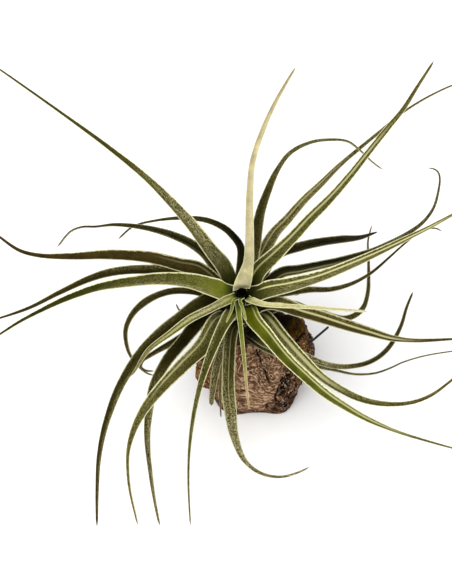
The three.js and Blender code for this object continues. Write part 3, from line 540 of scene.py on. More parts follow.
def leaf_mesh(name, leaf, seed, settings):
    """A leaf as rings of points carried along its middle line.

    At share s of the length and u from -1 to 1 across, the upper face lies at half width * u across the
    line and at rise * ((sqrt(u^2 + k^2) - k) / (sqrt(1 + k^2) - k) - sink) above it, a V with a round
    bottom; the lower face lies one thickness below it, thinner towards the margins. Near the tip, width
    and thickness shrink as sqrt(1 - t^2), with t the smooth step along it.
    """
    line = leaf_line(leaf)
    direction = math.radians(leaf["root"][0])
    tangents, normals = carried_normals(line, (-math.cos(direction), -math.sin(direction), 1))
    length = np.linalg.norm(np.diff(line, axis=0), axis=1).sum()
    rings = int(np.clip(length / settings.ring_step, *LEAF["rings"]))
    s = np.linspace(0, 1, rings)
    even = np.linspace(0, 1, len(line))
    place, tangent, normal = (sampled(rows, even, s) for rows in (line, tangents, normals))
    normal = unit(normal - tangent * np.sum(normal * tangent, axis=1, keepdims=True) / np.sum(tangent**2))
    across = unit(np.cross(tangent, normal))

    point = np.sqrt(np.clip(1 - ease(s, LEAF["tip_begin"], 1) ** 2, 0.0004, 1))
    half = np.interp(s, np.linspace(0, 1, len(leaf["width"])), leaf["width"]) / 2 * point
    waves = cloud(np.stack((s * length, 0 * s, 0 * s), axis=1), LEAF["wave"], seed)
    half = half * (1 + settings.waviness * waves)
    fold = np.radians(blend(FOLD["root"], FOLD["blade"], ease(s, FOLD["begin"], FOLD["end"])))
    rise = half * np.tan(fold)
    thick = blend(LEAF["root_thick"], LEAF["tip_thick"], np.sqrt(s)) * point

    columns = settings.columns
    u_half = np.sin(np.linspace(-1, 1, columns) * math.pi / 2)
    u = np.concatenate((u_half, u_half[::-1]))
    upper = np.concatenate((np.ones(columns), np.zeros(columns)))
    u, upper, s_grid = (np.broadcast_to(x, (rings, 2 * columns)) for x in (u, upper, s[:, None]))
    softness = LEAF["softness"]
    vee = (np.sqrt(u**2 + softness**2) - softness) / (math.sqrt(1 + softness**2) - softness) - LEAF["sink"]
    depth = thick[:, None] * (1 - LEAF["thin_margin"] * u**4) * (1 - upper)
    from_stem = np.hypot(place[:, 0] - STEM["x"], place[:, 1] - STEM["y"]) - stem_radius(leaf["root"][1])
    clasp = 1 - ease(from_stem, *CLASP["open"])
    offset = half[:, None] * u
    flat = place[:, None, :] + across[:, None, :] * offset[..., None]
    middle = wrapped(flat + normal[:, None, :] * (rise[:, None] * vee)[..., None], offset, place, clasp)
    points = middle - normal[:, None, :] * depth[..., None]
    ends = np.stack((points[0].mean(axis=0), points[-1].mean(axis=0) + 0.2 * tangent[-1]))
    pole = rings * 2 * columns
    faces = tube_faces(rings, 2 * columns, pole, pole + 1)

    def with_ends(values):
        return np.concatenate((values.reshape(pole, *values.shape[2:]), values[0, :1], values[-1, :1]))

    look = LOOKS[leaf["look"]]
    crease, creased = leaf_crease(leaf, s_grid, u, upper, half)
    margin = np.minimum(settings.margin_width, 0.17 * half)[:, None]
    dry = np.maximum(ease(s_grid, *ALONG["margin_begins"]), ease(leaf["root"][1], 80, 84))
    attributes = {
        "skin": with_ends(leaf_skin(leaf, look, s_grid, u)),
        "crease": with_ends(crease),
        "creased": with_ends(creased),
        "rim": with_ends(half[:, None] * (1 - np.abs(u)) / margin),
        "edge": with_ends(look["margin"] * dry),
        "ribs": with_ends(half[:, None] * u),
        "run": with_ends(s_grid * length),
        # Share of scales, which also paints light and shade across the channel.
        "scales_and_light": with_ends(leaf_scales_and_light(leaf, look, s_grid, u, upper)),
    }
    return make_mesh(name, np.vstack((points.reshape(-1, 3), ends)), faces, attributes)


# Wood


def wood_base(turn, climb):
    """Points of the wood's form at turn (share of a whole turn) and climb (0 at the foot, 1 at the top).

    The outline is a superellipse; it narrows upwards as cos^0.5 while the height grows as sin^0.8; the
    foot is pulled in and the form leans back. Bell-shaped lobes and slow waves push it outwards.
    """
    angle = turn * 2 * math.pi
    arc = climb * math.pi / 2
    c, s = np.cos(angle), np.sin(angle)
    power = WOOD_FORM["square"]
    outline = (np.abs(c) ** power + np.abs(s) ** power) ** (-1 / power)
    spread = np.cos(arc) ** WOOD_FORM["shoulder"]
    rise = np.sin(arc) ** WOOD_FORM["dome"]
    fullness = ease(rise, 0, WOOD_FORM["belly"])
    half_width = WOOD["width"] / 2 * blend(WOOD_FORM["foot_width"], 1, fullness)
    half_depth = WOOD["depth"] / 2 * blend(WOOD_FORM["foot_depth"], 1, fullness)
    lean = WOOD_FORM["lean"] * (rise - WOOD_FORM["upright"])
    points = np.stack(
        (half_width * outline * spread * c, half_depth * outline * spread * s + lean, WOOD["height"] * rise),
        axis=-1,
    )
    outward = unit(points - np.array((0, 0, WOOD["height"] / 2)))
    push = sum(
        out * bump_of(np.linalg.norm(points - np.array(at, float), axis=-1), 0, width)
        for at, out, width in LOBES
    )
    push = push + sum(
        out * spread * np.sin(round_ * angle + up * arc + start) for round_, up, start, out in WAVES
    )
    points = points + outward * push[..., None]
    points[..., 2] = np.where(climb == 0, 0, np.maximum(points[..., 2], 0))
    return points, outward


# Small forms of the wood, by the pixels where the picture shows them. Lumps: how far each stands out
# (negative is a hollow) and its spread. Cracks: the way of each, its half width and its depth.
WOOD_LUMPS = (
    ((297, 326), 1.0, 6),
    ((310, 336), 1.8, 2.4),
    ((305, 343), 1.2, 3),
    ((276, 370), 1.0, 8),
    ((284, 404), 1.6, 4),
    ((290, 376), -3.0, 3),
    ((285, 389), -3.5, 3),
    ((294, 386), -2.5, 2.4),
    ((279, 398), -2.0, 1.4),
    ((266, 408), -2.0, 2),
    ((247, 392), -0.8, 3),
    ((217, 390), -1.5, 3),
)
WOOD_CRACKS = (
    (((257, 348), (259, 354), (262, 361), (266, 371), (269, 383)), 0.5, 1.6),
    (((261, 392), (264, 391), (268, 388)), 0.5, 1.2),
    (((235, 391), (241, 392), (249, 390)), 0.5, 1.4),
    (((291, 362), (287, 370), (283, 379), (281, 388), (277, 396), (277, 404)), 0.8, 1.6),
    (((276, 397), (283, 397), (292, 396)), 0.7, 1.6),
    (((286, 346), (294, 342), (300, 337), (306, 332)), 0.8, 1.6),
    (((311, 341), (306, 345), (301, 348)), 0.6, 1.2),
    (((214, 366), (217, 380), (221, 398)), 0.6, 1.4),
    (((262, 361), (271, 357), (281, 358)), 0.4, 0.5),
    (((243, 352), (247, 362), (246, 374), (250, 384)), 0.4, 0.5),
)
# Near-black scarred bark, and the differently coloured parts of the wood: pixel of each middle, and spread.
# Two of the parts are painted shadows: the one under the rosette, and the small one on the face where a
# leaf's shadow falls.
WOOD_SCARS = (((291, 378), 8), ((288, 390), 6), ((283, 402), 4))
WOOD_PARTS = {
    "face": ((252, 385), 23),
    "side": ((205, 378), 11),
    "red": ((240, 358), 6),
    "knob": ((297, 326), 8),
    "rough": ((306, 344), 6),
    # Painted shadow under the rosette.
    "shade": ((278, 316), 9),
    "leaf_shadow": ((255, 380), 9),
}
# Strength of the relief: fractal lumps, ridges of bark, grit and fissures.
WOOD_RELIEF = {"lumps": 0.6, "ridges": 0.8, "grit": 0.3, "fissures": 1.2}
# Pixel of the pith, which the fibres of the face curve round.
PITH = (270, 365)


def spot_on(points, pixel):
    """The surface's point that shows at a pixel: of the points within one pixel of it, the nearest."""
    across, down, depth = picture_places(points)
    off = np.hypot(across - pixel[0], down - pixel[1])
    return points[np.argmin(depth + 1000 * np.maximum(off - 1, 0))]


def line_distance(points, way):
    """Distance of points from a line of straight stretches."""
    nearest = np.full(len(points), np.inf)
    for start, end in zip(way[:-1], way[1:]):
        along = end - start
        share = np.clip((points - start) @ along / along.dot(along), 0, 1)
        nearest = np.minimum(nearest, np.linalg.norm(points - start - share[:, None] * along, axis=1))
    return nearest


def strayed(points, far, cell, seeds, octaves):
    """Points moved by a fractal field along each axis, one seed for each, of about far in strength."""
    return points + far * np.stack([fractal(points, cell, seed, octaves) for seed in seeds], axis=1)


def wood_mesh(name, settings):
    """The wood's form with relief along its outward direction: the lumps, hollows and cracks that the
    picture shows, fractal lumps, and sharp ridges and fissures where it is bark. Columns lie closer in
    front: their turn is t - 1/4 - 0.06 sin(2 pi t)."""
    columns, rows = settings.columns, settings.rows
    t = np.linspace(0, 1, columns, endpoint=False)
    climb = np.linspace(0, 1, rows, endpoint=False)
    turn, climb = np.meshgrid(t - 0.25 - 0.06 * np.sin(2 * math.pi * t), climb, indexing="xy")
    grid, outward = wood_base(turn, climb)
    top, top_way = wood_base(np.array((0.0,)), np.array((1.0,)))
    base = np.vstack((grid.reshape(-1, 3), top))
    outward = np.vstack((outward.reshape(-1, 3), top_way))
    z = base[:, 2]
    frayed = strayed(base, 1.6, 6, (20, 24, 28), 3)
    wander = strayed(base, 0.7, 3, (31, 33, 35), 2)

    def near(pixel, spread):
        return bump_of(np.linalg.norm(frayed - spot_on(base, pixel), axis=1), 0, spread)

    part = {key: near(*place) for key, place in WOOD_PARTS.items()}
    scarred = np.max([near(*spot) for spot in WOOD_SCARS], axis=0)
    bark = np.clip(1.2 - 1.4 * part["face"] - part["knob"], scarred, 1)
    push = sum(out * near(pixel, spread) for pixel, out, spread in WOOD_LUMPS)
    split = [
        (depth, bump_of(line_distance(wander, [spot_on(base, pixel) for pixel in way]), 0, width))
        for way, width, depth in WOOD_CRACKS
    ]
    cut = np.max([depth * share for depth, share in split], axis=0)
    fissure = bump_of(cloud(base, 6, 43), 0, 0.07) * ease(cloud(base, 9, 47), -0.3, 0.5) * bark
    ridges = 1 - 2 * np.abs(fractal(base, 5, 60, 4))
    relief = (
        push
        + WOOD_RELIEF["lumps"] * fractal(base, 10, 50, 4)
        + WOOD_RELIEF["ridges"] * ridges * bark
        + WOOD_RELIEF["grit"] * fractal(base, 1.8, 70, 2)
        - cut
        - WOOD_RELIEF["fissures"] * fissure
    )
    points = base + outward * (relief * settings.relief * ease(z, 0, 2.5))[:, None]
    points[:, 2] = np.maximum(points[:, 2], 0)

    points = np.vstack((points, (0, 0, 0)))
    top_pole = rows * columns
    faces = tube_faces(rows, columns, top_pole + 1, top_pole)

    def with_foot(values):
        return np.concatenate((values, values[:1]))

    from_pith = strayed(base, 3, 9, (51, 53, 57), 2) - spot_on(base, PITH)
    radius = np.linalg.norm(from_pith, axis=1)
    way = np.arctan2(from_pith @ UP, from_pith @ RIGHT)
    # Painted shade: the bark darkens where its relief sinks.
    sunk_shade = ease(-relief, 0.4, 2.2) * bark
    attributes = {
        "face": with_foot(ease(part["face"] - 0.5 * part["rough"] - 0.8 * scarred, 0.2, 0.45)),
        "red": with_foot(part["red"]),
        "leaf_shadow": with_foot(part["leaf_shadow"]),
        "scarred": with_foot(ease(scarred, 0.3, 0.7)),
        "knob": with_foot(ease(part["knob"] - 0.4 * part["rough"], 0.3, 0.5)),
        "rough": with_foot(ease(np.maximum(part["rough"], 0.9 * part["side"]), 0.3, 0.6)),
        # Cracks and fissures are near-black; the rest of this mask is painted shade in sunk bark and the
        # painted shadow under the rosette.
        "hollow": with_foot(np.clip(ease(cut, 0.3, 1) + fissure + sunk_shade + 1.5 * part["shade"], 0, 1)),
        "grain": with_foot(np.stack((radius * 1.2, np.sin(way) * 6, np.cos(way) * 6), axis=1)),
    }
    return make_mesh(name, points, faces, attributes)


# Stem and wire


def turned_surface(profile, sides):
    """Surface of revolution about Z: each (height, radius) of the profile becomes a ring of points."""
    angle = np.linspace(0, 2 * math.pi, sides, endpoint=False)
    height, radius = np.array(profile, float).T
    return np.stack(
        (
            radius[:, None] * np.cos(angle),
            radius[:, None] * np.sin(angle),
            np.broadcast_to(height[:, None], (len(height), sides)),
        ),
        axis=-1,
    )


def stem_mesh(name, settings):
    """Stem turned from its side, ringed by the sheaths of old leaves: the radius swells and drops once
    for each sheath, in a saw wave that winds round the stem, and the top sinks in a small hollow."""
    heights, radii = zip(*STEM_SIDE)
    side = np.linspace(heights[0], heights[-1], settings.rows)
    profile = [(STEM["foot"], STEM["peg"]), (STEM["ledge"], STEM["peg"])]
    profile += list(zip(side, np.interp(side, heights, radii)))
    lip = STEM_SIDE[-1][1]
    hollow = [(STEM["top"] - STEM["hollow"] * (1 - (r / lip) ** 2), r) for r in np.linspace(lip, 0.3, 5)[1:]]
    sides = settings.sides
    rings = turned_surface(profile + hollow, sides)
    angle = np.linspace(0, 2 * math.pi, sides, endpoint=False)
    height = rings[..., 2]
    wound = height / settings.sheath + SHEATHS["wind"] * angle / (2 * math.pi)
    saw = wound - np.floor(wound)
    on_side = ease(height, heights[0], heights[0] + 2) * (1 - ease(height, *SHEATHS["fade"]))
    rings[..., :2] *= (1 - SHEATHS["swell"] * on_side * saw)[..., None]
    rings[..., :2] += (STEM["x"], STEM["y"])
    points = np.vstack((rings.reshape(-1, 3), rings[0].mean(axis=0), rings[-1].mean(axis=0)))
    inside = np.zeros((len(rings), sides))
    inside[len(profile) - 1 :] = 1
    inside = np.concatenate((inside.ravel(), (0, 1)))
    pole = len(rings) * sides
    return make_mesh(name, points, tube_faces(len(rings), sides, pole, pole + 1), {"inside": inside})


def wire_mesh(name, settings):
    """A straight round rod with a slight bow and a rounded cut end: over the last half radius of its
    length the radius falls as sqrt(1 - t^2), with t the smooth step along it."""
    mouth, end = seen(WIRE["mouth"]), seen(WIRE["end"])
    way = unit(end - mouth)
    start = mouth - way * WIRE["buried"]
    length = np.linalg.norm(end - start)
    side = unit(np.cross(way, (0, 0, 1)))
    above = np.cross(side, way)
    rows = settings.rows
    run = np.linspace(0, 1, rows) ** 0.8 * length
    cut = ease(run, length - 0.5 * WIRE["radius"], length)
    radius = WIRE["radius"] * np.sqrt(np.clip(1 - cut**2, 0.05, 1))
    bow = WIRE["bow"] * np.sin(math.pi * run / length)
    angle = np.linspace(0, 2 * math.pi, settings.sides, endpoint=False)
    centre = start + way * run[:, None] - above * bow[:, None]
    ring = np.cos(angle)[:, None] * above + np.sin(angle)[:, None] * side
    points = centre[:, None, :] + ring[None] * radius[:, None, None]
    pole = rows * settings.sides
    faces = tube_faces(rows, settings.sides, pole, pole + 1)
    return make_mesh(name, np.vstack((points.reshape(-1, 3), centre[:1], centre[-1:])), faces, {})


# Materials


class Shader:
    """Builds the nodes of one material, with short calls for the kinds that this plant needs."""

    def __init__(self, name):
        self.material = bpy.data.materials.new(name)
        self.material.use_nodes = True
        self.tree = self.material.node_tree
        self.surface = self.tree.nodes["Principled BSDF"]

    def add(self, kind, inputs=None, **options):
        """A node of a kind, with options set and inputs given as values or linked from sockets."""
        node = self.tree.nodes.new(kind)
        for key, value in options.items():
            setattr(node, key, value)
        for key, value in (inputs or {}).items():
            if isinstance(value, bpy.types.NodeSocket):
                self.tree.links.new(value, node.inputs[key])
            else:
                node.inputs[key].default_value = value
        return node

    def attribute(self, name, output="Fac"):
        """The piece's own attribute of a name."""
        return self.add("ShaderNodeAttribute", attribute_name=name).outputs[output]

    def place(self):
        """Places in metres in the object's own space; noise and cells count their scale per metre of it."""
        return self.add("ShaderNodeTexCoord").outputs["Object"]

    def noise(self, vector, scale, detail=2.0, roughness=0.5):
        inputs = {"Vector": vector, "Scale": scale, "Detail": detail, "Roughness": roughness}
        return self.add("ShaderNodeTexNoise", inputs).outputs["Fac"]

    def cells(self, vector, scale):
        """Distance from the nearest of scattered points."""
        return self.add("ShaderNodeTexVoronoi", {"Vector": vector, "Scale": scale}).outputs["Distance"]

    def stretch(self, value, low, high, to_low=0.0, to_high=1.0):
        """Value moved from low..high to to_low..to_high, and held there."""
        inputs = {"Value": value, "From Min": low, "From Max": high, "To Min": to_low, "To Max": to_high}
        return self.add("ShaderNodeMapRange", inputs).outputs["Result"]

    def math(self, operation, first, second=0.0):
        return self.add("ShaderNodeMath", {0: first, 1: second}, operation=operation).outputs[0]

    def times(self, first, second):
        return self.math("MULTIPLY", first, second)

    def mix(self, share, first, second, kind="MIX"):
        """Colour from first at share 0 to second at share 1."""
        node = self.add("ShaderNodeMix", data_type="RGBA", blend_type=kind)
        for index, value in ((0, share), (6, first), (7, second)):
            if isinstance(value, bpy.types.NodeSocket):
                self.tree.links.new(value, node.inputs[index])
            else:
                node.inputs[index].default_value = value if index == 0 else (*value, 1.0)
        return node.outputs[2]

    def combine(self, x, y, z):
        return self.add("ShaderNodeCombineXYZ", {"X": x, "Y": y, "Z": z}).outputs[0]

    def dim(self, colour, factor):
        """A colour times a factor."""
        return self.mix(1.0, colour, self.combine(factor, factor, factor), "MULTIPLY")

    def relief(self, height, strength, distance):
        """Normals of small relief, with its height in metres as the distance."""
        inputs = {"Height": height, "Strength": strength, "Distance": distance}
        return self.add("ShaderNodeBump", inputs).outputs["Normal"]

    def finish(self, colour, normal=None, roughness=None, **fixed):
        """Links colour, normal and roughness, and sets the rest on the surface's own sockets."""
        for socket, value in (("Base Color", colour), ("Normal", normal), ("Roughness", roughness)):
            if isinstance(value, bpy.types.NodeSocket):
                self.tree.links.new(value, self.surface.inputs[socket])
            elif value is not None:
                self.surface.inputs[socket].default_value = value
        for socket, value in fixed.items():
            self.surface.inputs[socket.replace("_", " ")].default_value = value
        return self.material


# Colour of the soft sheen that the scales give a leaf.
SHEEN = srgb("D8D6BE")


def leaf_material(settings):
    """Green skin under silvery scales: round cells of scales, larger where the share of scales and painted
    light is higher, along fine ribs, lighter and darker blotches, a pale crease, a dry margin and a soft
    sheen."""
    shader = Shader("scaly_leaf")
    place = shader.place()
    blotch = shader.stretch(shader.noise(place, 160.0, 3.0), 0.3, 0.7, 0.65, 1.35)
    skin = shader.dim(shader.attribute("skin", "Color"), blotch)
    ribs = shader.combine(
        shader.times(shader.attribute("ribs"), 1.8), shader.times(shader.attribute("run"), 0.1), 0.0)
    stripe = shader.stretch(shader.noise(ribs, 1.0, 2.0), 0.3, 0.7, -0.35, 0.35)
    patch = shader.stretch(shader.noise(place, 260.0, 2.0), 0.3, 0.7, -0.12, 0.12)
    dots = shader.stretch(shader.cells(place, settings.scale_density), 0.15, 0.7, 1.0, -0.9)
    grain = shader.math("ADD", dots, shader.math("ADD", stripe, patch))
    # The share of scales also paints light and shade: more silver on the lit side of the channel, less on the
    # side in shade.
    scales = shader.times(shader.attribute("scales_and_light"), shader.math("ADD", grain, 1.0))
    scales = shader.stretch(scales, 0.0, 1.0)
    silver = shader.mix(scales, settings.thin_colour, settings.scale_colour)
    colour = shader.mix(scales, skin, silver)
    line = shader.stretch(shader.math("ABSOLUTE", shader.attribute("crease")), 0.35, 1.0, 1.0, 0.0)
    line = shader.times(line, shader.attribute("creased"))
    colour = shader.mix(line, colour, settings.crease_colour)
    fray = shader.stretch(shader.noise(place, 900.0, 2.0), 0.3, 0.7, 0.6, 1.4)
    edge = shader.stretch(shader.math("DIVIDE", shader.attribute("rim"), fray), 0.7, 1.1, 1.0, 0.0)
    edge = shader.times(edge, shader.attribute("edge"))
    colour = shader.mix(edge, colour, settings.margin_colour)
    return shader.finish(
        colour, shader.relief(scales, 0.5, 0.0003), 0.7,
        Specular_IOR_Level=0.04, Sheen_Weight=0.06, Sheen_Roughness=0.4, Sheen_Tint=(*SHEEN, 1.0))


# Smaller tones of the wood, with the share of the lighter ground left in a leaf's painted shadow on the
# face, the tones of the stem and that of the wire's scuffs.
WOOD_TONES = {
    "leaf_shadow": (0.1, 0.1, 0.1), "red": srgb("7A3A2C"), "fleck": srgb("D2AE8A"),
    "knob_dark": srgb("2C1C05"), "knob_light": srgb("6C4A0A"), "knob_moss": srgb("3E3A12"),
    "rough_dark": srgb("40240E"), "rough_light": srgb("80582C"), "rough_fleck": srgb("D2A878"),
    "scar_dark": srgb("1A0C0A"), "scar_light": srgb("6A4630"), "chip": srgb("DCC0A0"),
}
# Tones of the stem: crown and hollow are painted shade, the near-black under the crown's leaves.
STEM_TONES = {
    "green_dark": srgb("1C2006"), "green_light": srgb("3C460E"), "brown_dark": srgb("1C150D"),
    "brown_light": srgb("4A3826"), "crown": srgb("0C0E03"), "hollow": srgb("030301"),
}
WIRE_SCUFF = srgb("30363C")


def wood_material(settings):
    """Weathered wood: a pinkish face of short light and dark fibres that swirl round its pith, dark rough
    bark with sparse light flecks, a mottled orange-brown knob, near-black scarred bark with pale chips,
    near-black cracks, and painted shade: darker where the bark's relief sinks, a near-black shadow under
    the rosette and a leaf's shadow on the face."""
    tone = WOOD_TONES
    shader = Shader("weathered_wood")
    place = shader.place()
    grain = shader.attribute("grain", "Vector")
    broad = shader.stretch(shader.noise(place, 130.0, 2.0), 0.35, 0.65)
    coarse = shader.stretch(shader.noise(place, 330.0, 3.0, 0.6), 0.4, 0.64)
    fine = shader.noise(place, 900.0, 2.0, 0.6)
    fibre = shader.math("ADD", shader.noise(grain, 0.9, 2.0, 0.6), shader.times(fine, 0.35))
    light = shader.stretch(fibre, 0.67, 0.76)
    dark = shader.stretch(fibre, 0.66, 0.56)
    # Painted shadow of a leaf on the face: there the ground leans to the darker face colour.
    ground = shader.mix(shader.attribute("leaf_shadow"), broad, tone["leaf_shadow"])
    face = shader.mix(ground, settings.face_dark, settings.face_colour)
    face = shader.mix(shader.times(shader.attribute("red"), 0.6), face, tone["red"])
    face = shader.mix(shader.times(dark, 0.65), face, settings.fibre_dark)
    face = shader.mix(shader.times(light, 0.75), face, settings.fibre_light)
    bark = shader.mix(coarse, settings.crack_and_shade_colour, settings.bark_colour)
    bark = shader.mix(shader.times(shader.stretch(fine, 0.54, 0.62, 0.0, 0.9), broad), bark, tone["fleck"])
    wood = shader.mix(shader.attribute("face"), bark, face)
    knob = shader.mix(coarse, tone["knob_dark"], tone["knob_light"])
    knob = shader.mix(shader.stretch(broad, 0.5, 0.9, 0.0, 0.7), knob, tone["knob_moss"])
    wood = shader.mix(shader.attribute("knob"), wood, knob)
    rough = shader.mix(coarse, tone["rough_dark"], tone["rough_light"])
    rough = shader.mix(shader.stretch(fine, 0.52, 0.62, 0.0, 0.7), rough, tone["rough_fleck"])
    wood = shader.mix(shader.attribute("rough"), wood, rough)
    scar = shader.mix(shader.stretch(coarse, 0.35, 1.0), tone["scar_dark"], tone["scar_light"])
    wood = shader.mix(shader.times(shader.attribute("scarred"), 0.85), wood, scar)
    # Cracks and fissures turn near-black, with painted shade in sunk bark and a painted shadow under the
    # rosette.
    wood = shader.mix(shader.attribute("hollow"), wood, settings.crack_and_shade_colour)
    chip = shader.times(shader.stretch(fine, 0.58, 0.64), shader.attribute("scarred"))
    wood = shader.mix(shader.times(chip, 0.85), wood, tone["chip"])
    height = shader.math("ADD", light, shader.times(shader.math("ADD", coarse, fine), 0.8))
    height = shader.math("SUBTRACT", height, dark)
    return shader.finish(wood, shader.relief(height, 0.8, 0.0006), 0.85, Specular_IOR_Level=0.05)


def stem_material():
    """Sheaths round the stem: brown and dry at the foot, green towards the crown, and near-black painted
    shade at its top and in its hollow, under the crown's leaves.
    """
    shader = Shader("sheathed_stem")
    place = shader.place()
    height = shader.add("ShaderNodeSeparateXYZ", {0: place}).outputs["Z"]
    streak = shader.noise(place, 500.0, 3.0)
    light = shader.stretch(streak, 0.35, 0.65)
    tone = STEM_TONES
    green = shader.mix(light, tone["green_dark"], tone["green_light"])
    brown = shader.mix(light, tone["brown_dark"], tone["brown_light"])
    skin = shader.mix(shader.stretch(height, 0.060, 0.078), brown, green)
    # Painted shade: near-black at the stem's top under the crown's leaves, and darker still in its hollow.
    skin = shader.mix(shader.stretch(height, 0.083, 0.086), skin, tone["crown"])
    skin = shader.mix(shader.attribute("inside"), skin, tone["hollow"])
    return shader.finish(skin, shader.relief(streak, 0.4, 0.0004), 0.9, Specular_IOR_Level=0.0)


def wire_material(settings):
    """Dull dark coated wire with faint scuffs."""
    shader = Shader("dark_wire")
    scuff = shader.stretch(shader.noise(shader.place(), 900.0, 3.0), 0.4, 0.7)
    colour = shader.mix(scuff, settings.colour, WIRE_SCUFF)
    roughness = shader.stretch(scuff, 0.0, 1.0, 0.4, 0.6)
    return shader.finish(colour, shader.relief(scuff, 0.2, 0.0001), roughness, Specular_IOR_Level=0.3)


def floor_material(settings):
    """Plain pale floor with a hardly visible grain."""
    shader = Shader("pale_floor")
    grain = shader.stretch(shader.noise(shader.place(), 60.0, 3.0), 0.3, 0.7, 0.99, 1.0)
    colour = shader.dim(settings.floor_colour, grain)
    return shader.finish(colour, None, 0.9, Specular_IOR_Level=0.1)


# Settings


def colour_setting(name, description, code):
    """Colour property whose default is a hex code."""
    return FloatVectorProperty(
        name=name, description=description, subtype="COLOR", size=3, min=0, max=1, default=srgb(code)
    )


class LeafSettings(bpy.types.PropertyGroup):
    ring_step: FloatProperty(
        name="Ring step", description="Length of leaf between two rings of points, in millimetres",
        default=1.3, min=0.4, max=6)
    columns: IntProperty(
        name="Columns", description="Points across one face of a leaf", default=13, min=5, max=31)
    waviness: FloatProperty(
        name="Waviness", description="How much the width of a leaf wavers, as a share of it",
        default=0.035, min=0, max=0.1)
    margin_width: FloatProperty(
        name="Margin width", description="Width of the pale margin, in millimetres",
        default=0.6, min=0, max=2)
    scale_density: FloatProperty(
        name="Scale density", description="Silvery scales per metre", default=1700, min=300, max=4000)
    thin_colour: colour_setting("Thin scales", "Colour of the scales where they are few", "A09648")
    scale_colour: colour_setting("Thick scales", "Colour of the scales where they are many", "D6CEA6")
    crease_colour: colour_setting("Crease colour", "Colour of the line along the channel", "CBC890")
    margin_colour: colour_setting("Margin colour", "Colour of the dry margins", "E8E4B2")


class StemSettings(bpy.types.PropertyGroup):
    rows: IntProperty(name="Rows", description="Rings of points up the stem", default=90, min=8, max=200)
    sides: IntProperty(name="Sides", description="Points round the stem", default=48, min=12, max=96)
    sheath: FloatProperty(
        name="Sheath height", description="Height of one old sheath, in millimetres",
        default=3.4, min=1, max=9)


class WoodSettings(bpy.types.PropertyGroup):
    columns: IntProperty(name="Columns", description="Points round the wood", default=420, min=48, max=440)
    rows: IntProperty(name="Rows", description="Rings of points up the wood", default=210, min=16, max=220)
    relief: FloatProperty(
        name="Relief", description="Strength of lumps, ridges and cracks", default=1.0, min=0, max=2)
    face_colour: colour_setting("Face colour", "Lighter ground of the weathered face", "AA825E")
    face_dark: colour_setting("Face dark", "Darker ground of the weathered face", "6A4A32")
    fibre_light: colour_setting("Light fibres", "Light fibres of the face", "DDB898")
    fibre_dark: colour_setting("Dark fibres", "Dark fibres of the face", "402619")
    bark_colour: colour_setting("Bark colour", "Colour of the bark's ridges", "7C573C")
    # This colour also paints the shade where the bark's relief sinks and the shadow under the rosette.
    crack_and_shade_colour: colour_setting("Hollow colour", "Colour of cracks and hollows", "160B07")


class WireSettings(bpy.types.PropertyGroup):
    rows: IntProperty(name="Rows", description="Rings of points along the wire", default=40, min=8, max=90)
    sides: IntProperty(name="Sides", description="Points round the wire", default=20, min=8, max=40)
    colour: colour_setting("Colour", "Colour of the wire", "14171A")


class StageSettings(bpy.types.PropertyGroup):
    floor_size: FloatProperty(
        name="Floor size", description="Side of the floor", subtype="DISTANCE", default=24, min=1, max=60)
    floor_colour: colour_setting("Floor colour", "Colour of the floor", "FFFFFF")
    key_power: FloatProperty(
        name="Key light", description="Strength of the key light", default=2.2, min=0, max=20)
    key_spread: FloatProperty(
        name="Key spread", description="Angle that the key light fills, for soft shadows", subtype="ANGLE",
        default=math.radians(50), min=0, max=math.pi)
    sky: FloatProperty(
        name="Sky", description="Strength of the even light all round", default=0.75, min=0, max=4)


# Operators


class AIRPLANT_OT_leaves(bpy.types.Operator):
    """Add every leaf: a channelled, tapering, scaly blade that replaces its CAD node"""

    bl_idname = "airplant.leaves"
    bl_label = "Add Leaves"

    def execute(self, context):
        settings = context.scene.airplant_leaf
        material = leaf_material(settings)
        for seed, (name, leaf) in enumerate(LEAVES.items()):
            piece = f"blade_{name}"
            add_piece(piece, leaf_mesh(piece, leaf, seed, settings), material, f"leaf_{name}")
        return {"FINISHED"}


class AIRPLANT_OT_stem(bpy.types.Operator):
    """Add the stem with its old sheaths"""

    bl_idname = "airplant.stem"
    bl_label = "Add Stem"

    def execute(self, context):
        mesh = stem_mesh("sheathed_stem", context.scene.airplant_stem)
        add_piece("sheathed_stem", mesh, stem_material(), "stem")
        return {"FINISHED"}


class AIRPLANT_OT_wood(bpy.types.Operator):
    """Add the weathered wood block"""

    bl_idname = "airplant.wood"
    bl_label = "Add Wood Block"

    def execute(self, context):
        settings = context.scene.airplant_wood
        mesh = wood_mesh("weathered_block", settings)
        add_piece("weathered_block", mesh, wood_material(settings), "wood_block")
        return {"FINISHED"}


class AIRPLANT_OT_wire(bpy.types.Operator):
    """Add the short end of dark wire"""

    bl_idname = "airplant.wire"
    bl_label = "Add Wire"

    def execute(self, context):
        settings = context.scene.airplant_wire
        add_piece("wire_end", wire_mesh("wire_end", settings), wire_material(settings), "wire")
        return {"FINISHED"}


class AIRPLANT_OT_stage(bpy.types.Operator):
    """Add the pale floor, the soft lights and the camera"""

    bl_idname = "airplant.stage"
    bl_label = "Add Stage"

    def execute(self, context):
        settings = context.scene.airplant_stage
        add_floor(settings)
        add_key(settings)
        add_sky(settings)
        add_camera()
        return {"FINISHED"}


def add_floor(settings):
    """Square floor at the height of the wood's underside."""
    half = settings.floor_size / 2 / MM
    level = CAD_BOX[0][2] / MM
    corners = np.array(((-1, -1), (1, -1), (1, 1), (-1, 1))) * half
    mesh = make_mesh("floor", np.insert(corners, 2, level, axis=1), [np.array([[0, 1, 2, 3]])], {})
    mesh.materials.append(floor_material(settings))
    floor = bpy.data.objects.new("floor", mesh)
    bpy.context.scene.collection.objects.link(floor)


# Direction from which the key light comes.
KEY_FROM = (-0.35, -0.3, 1)


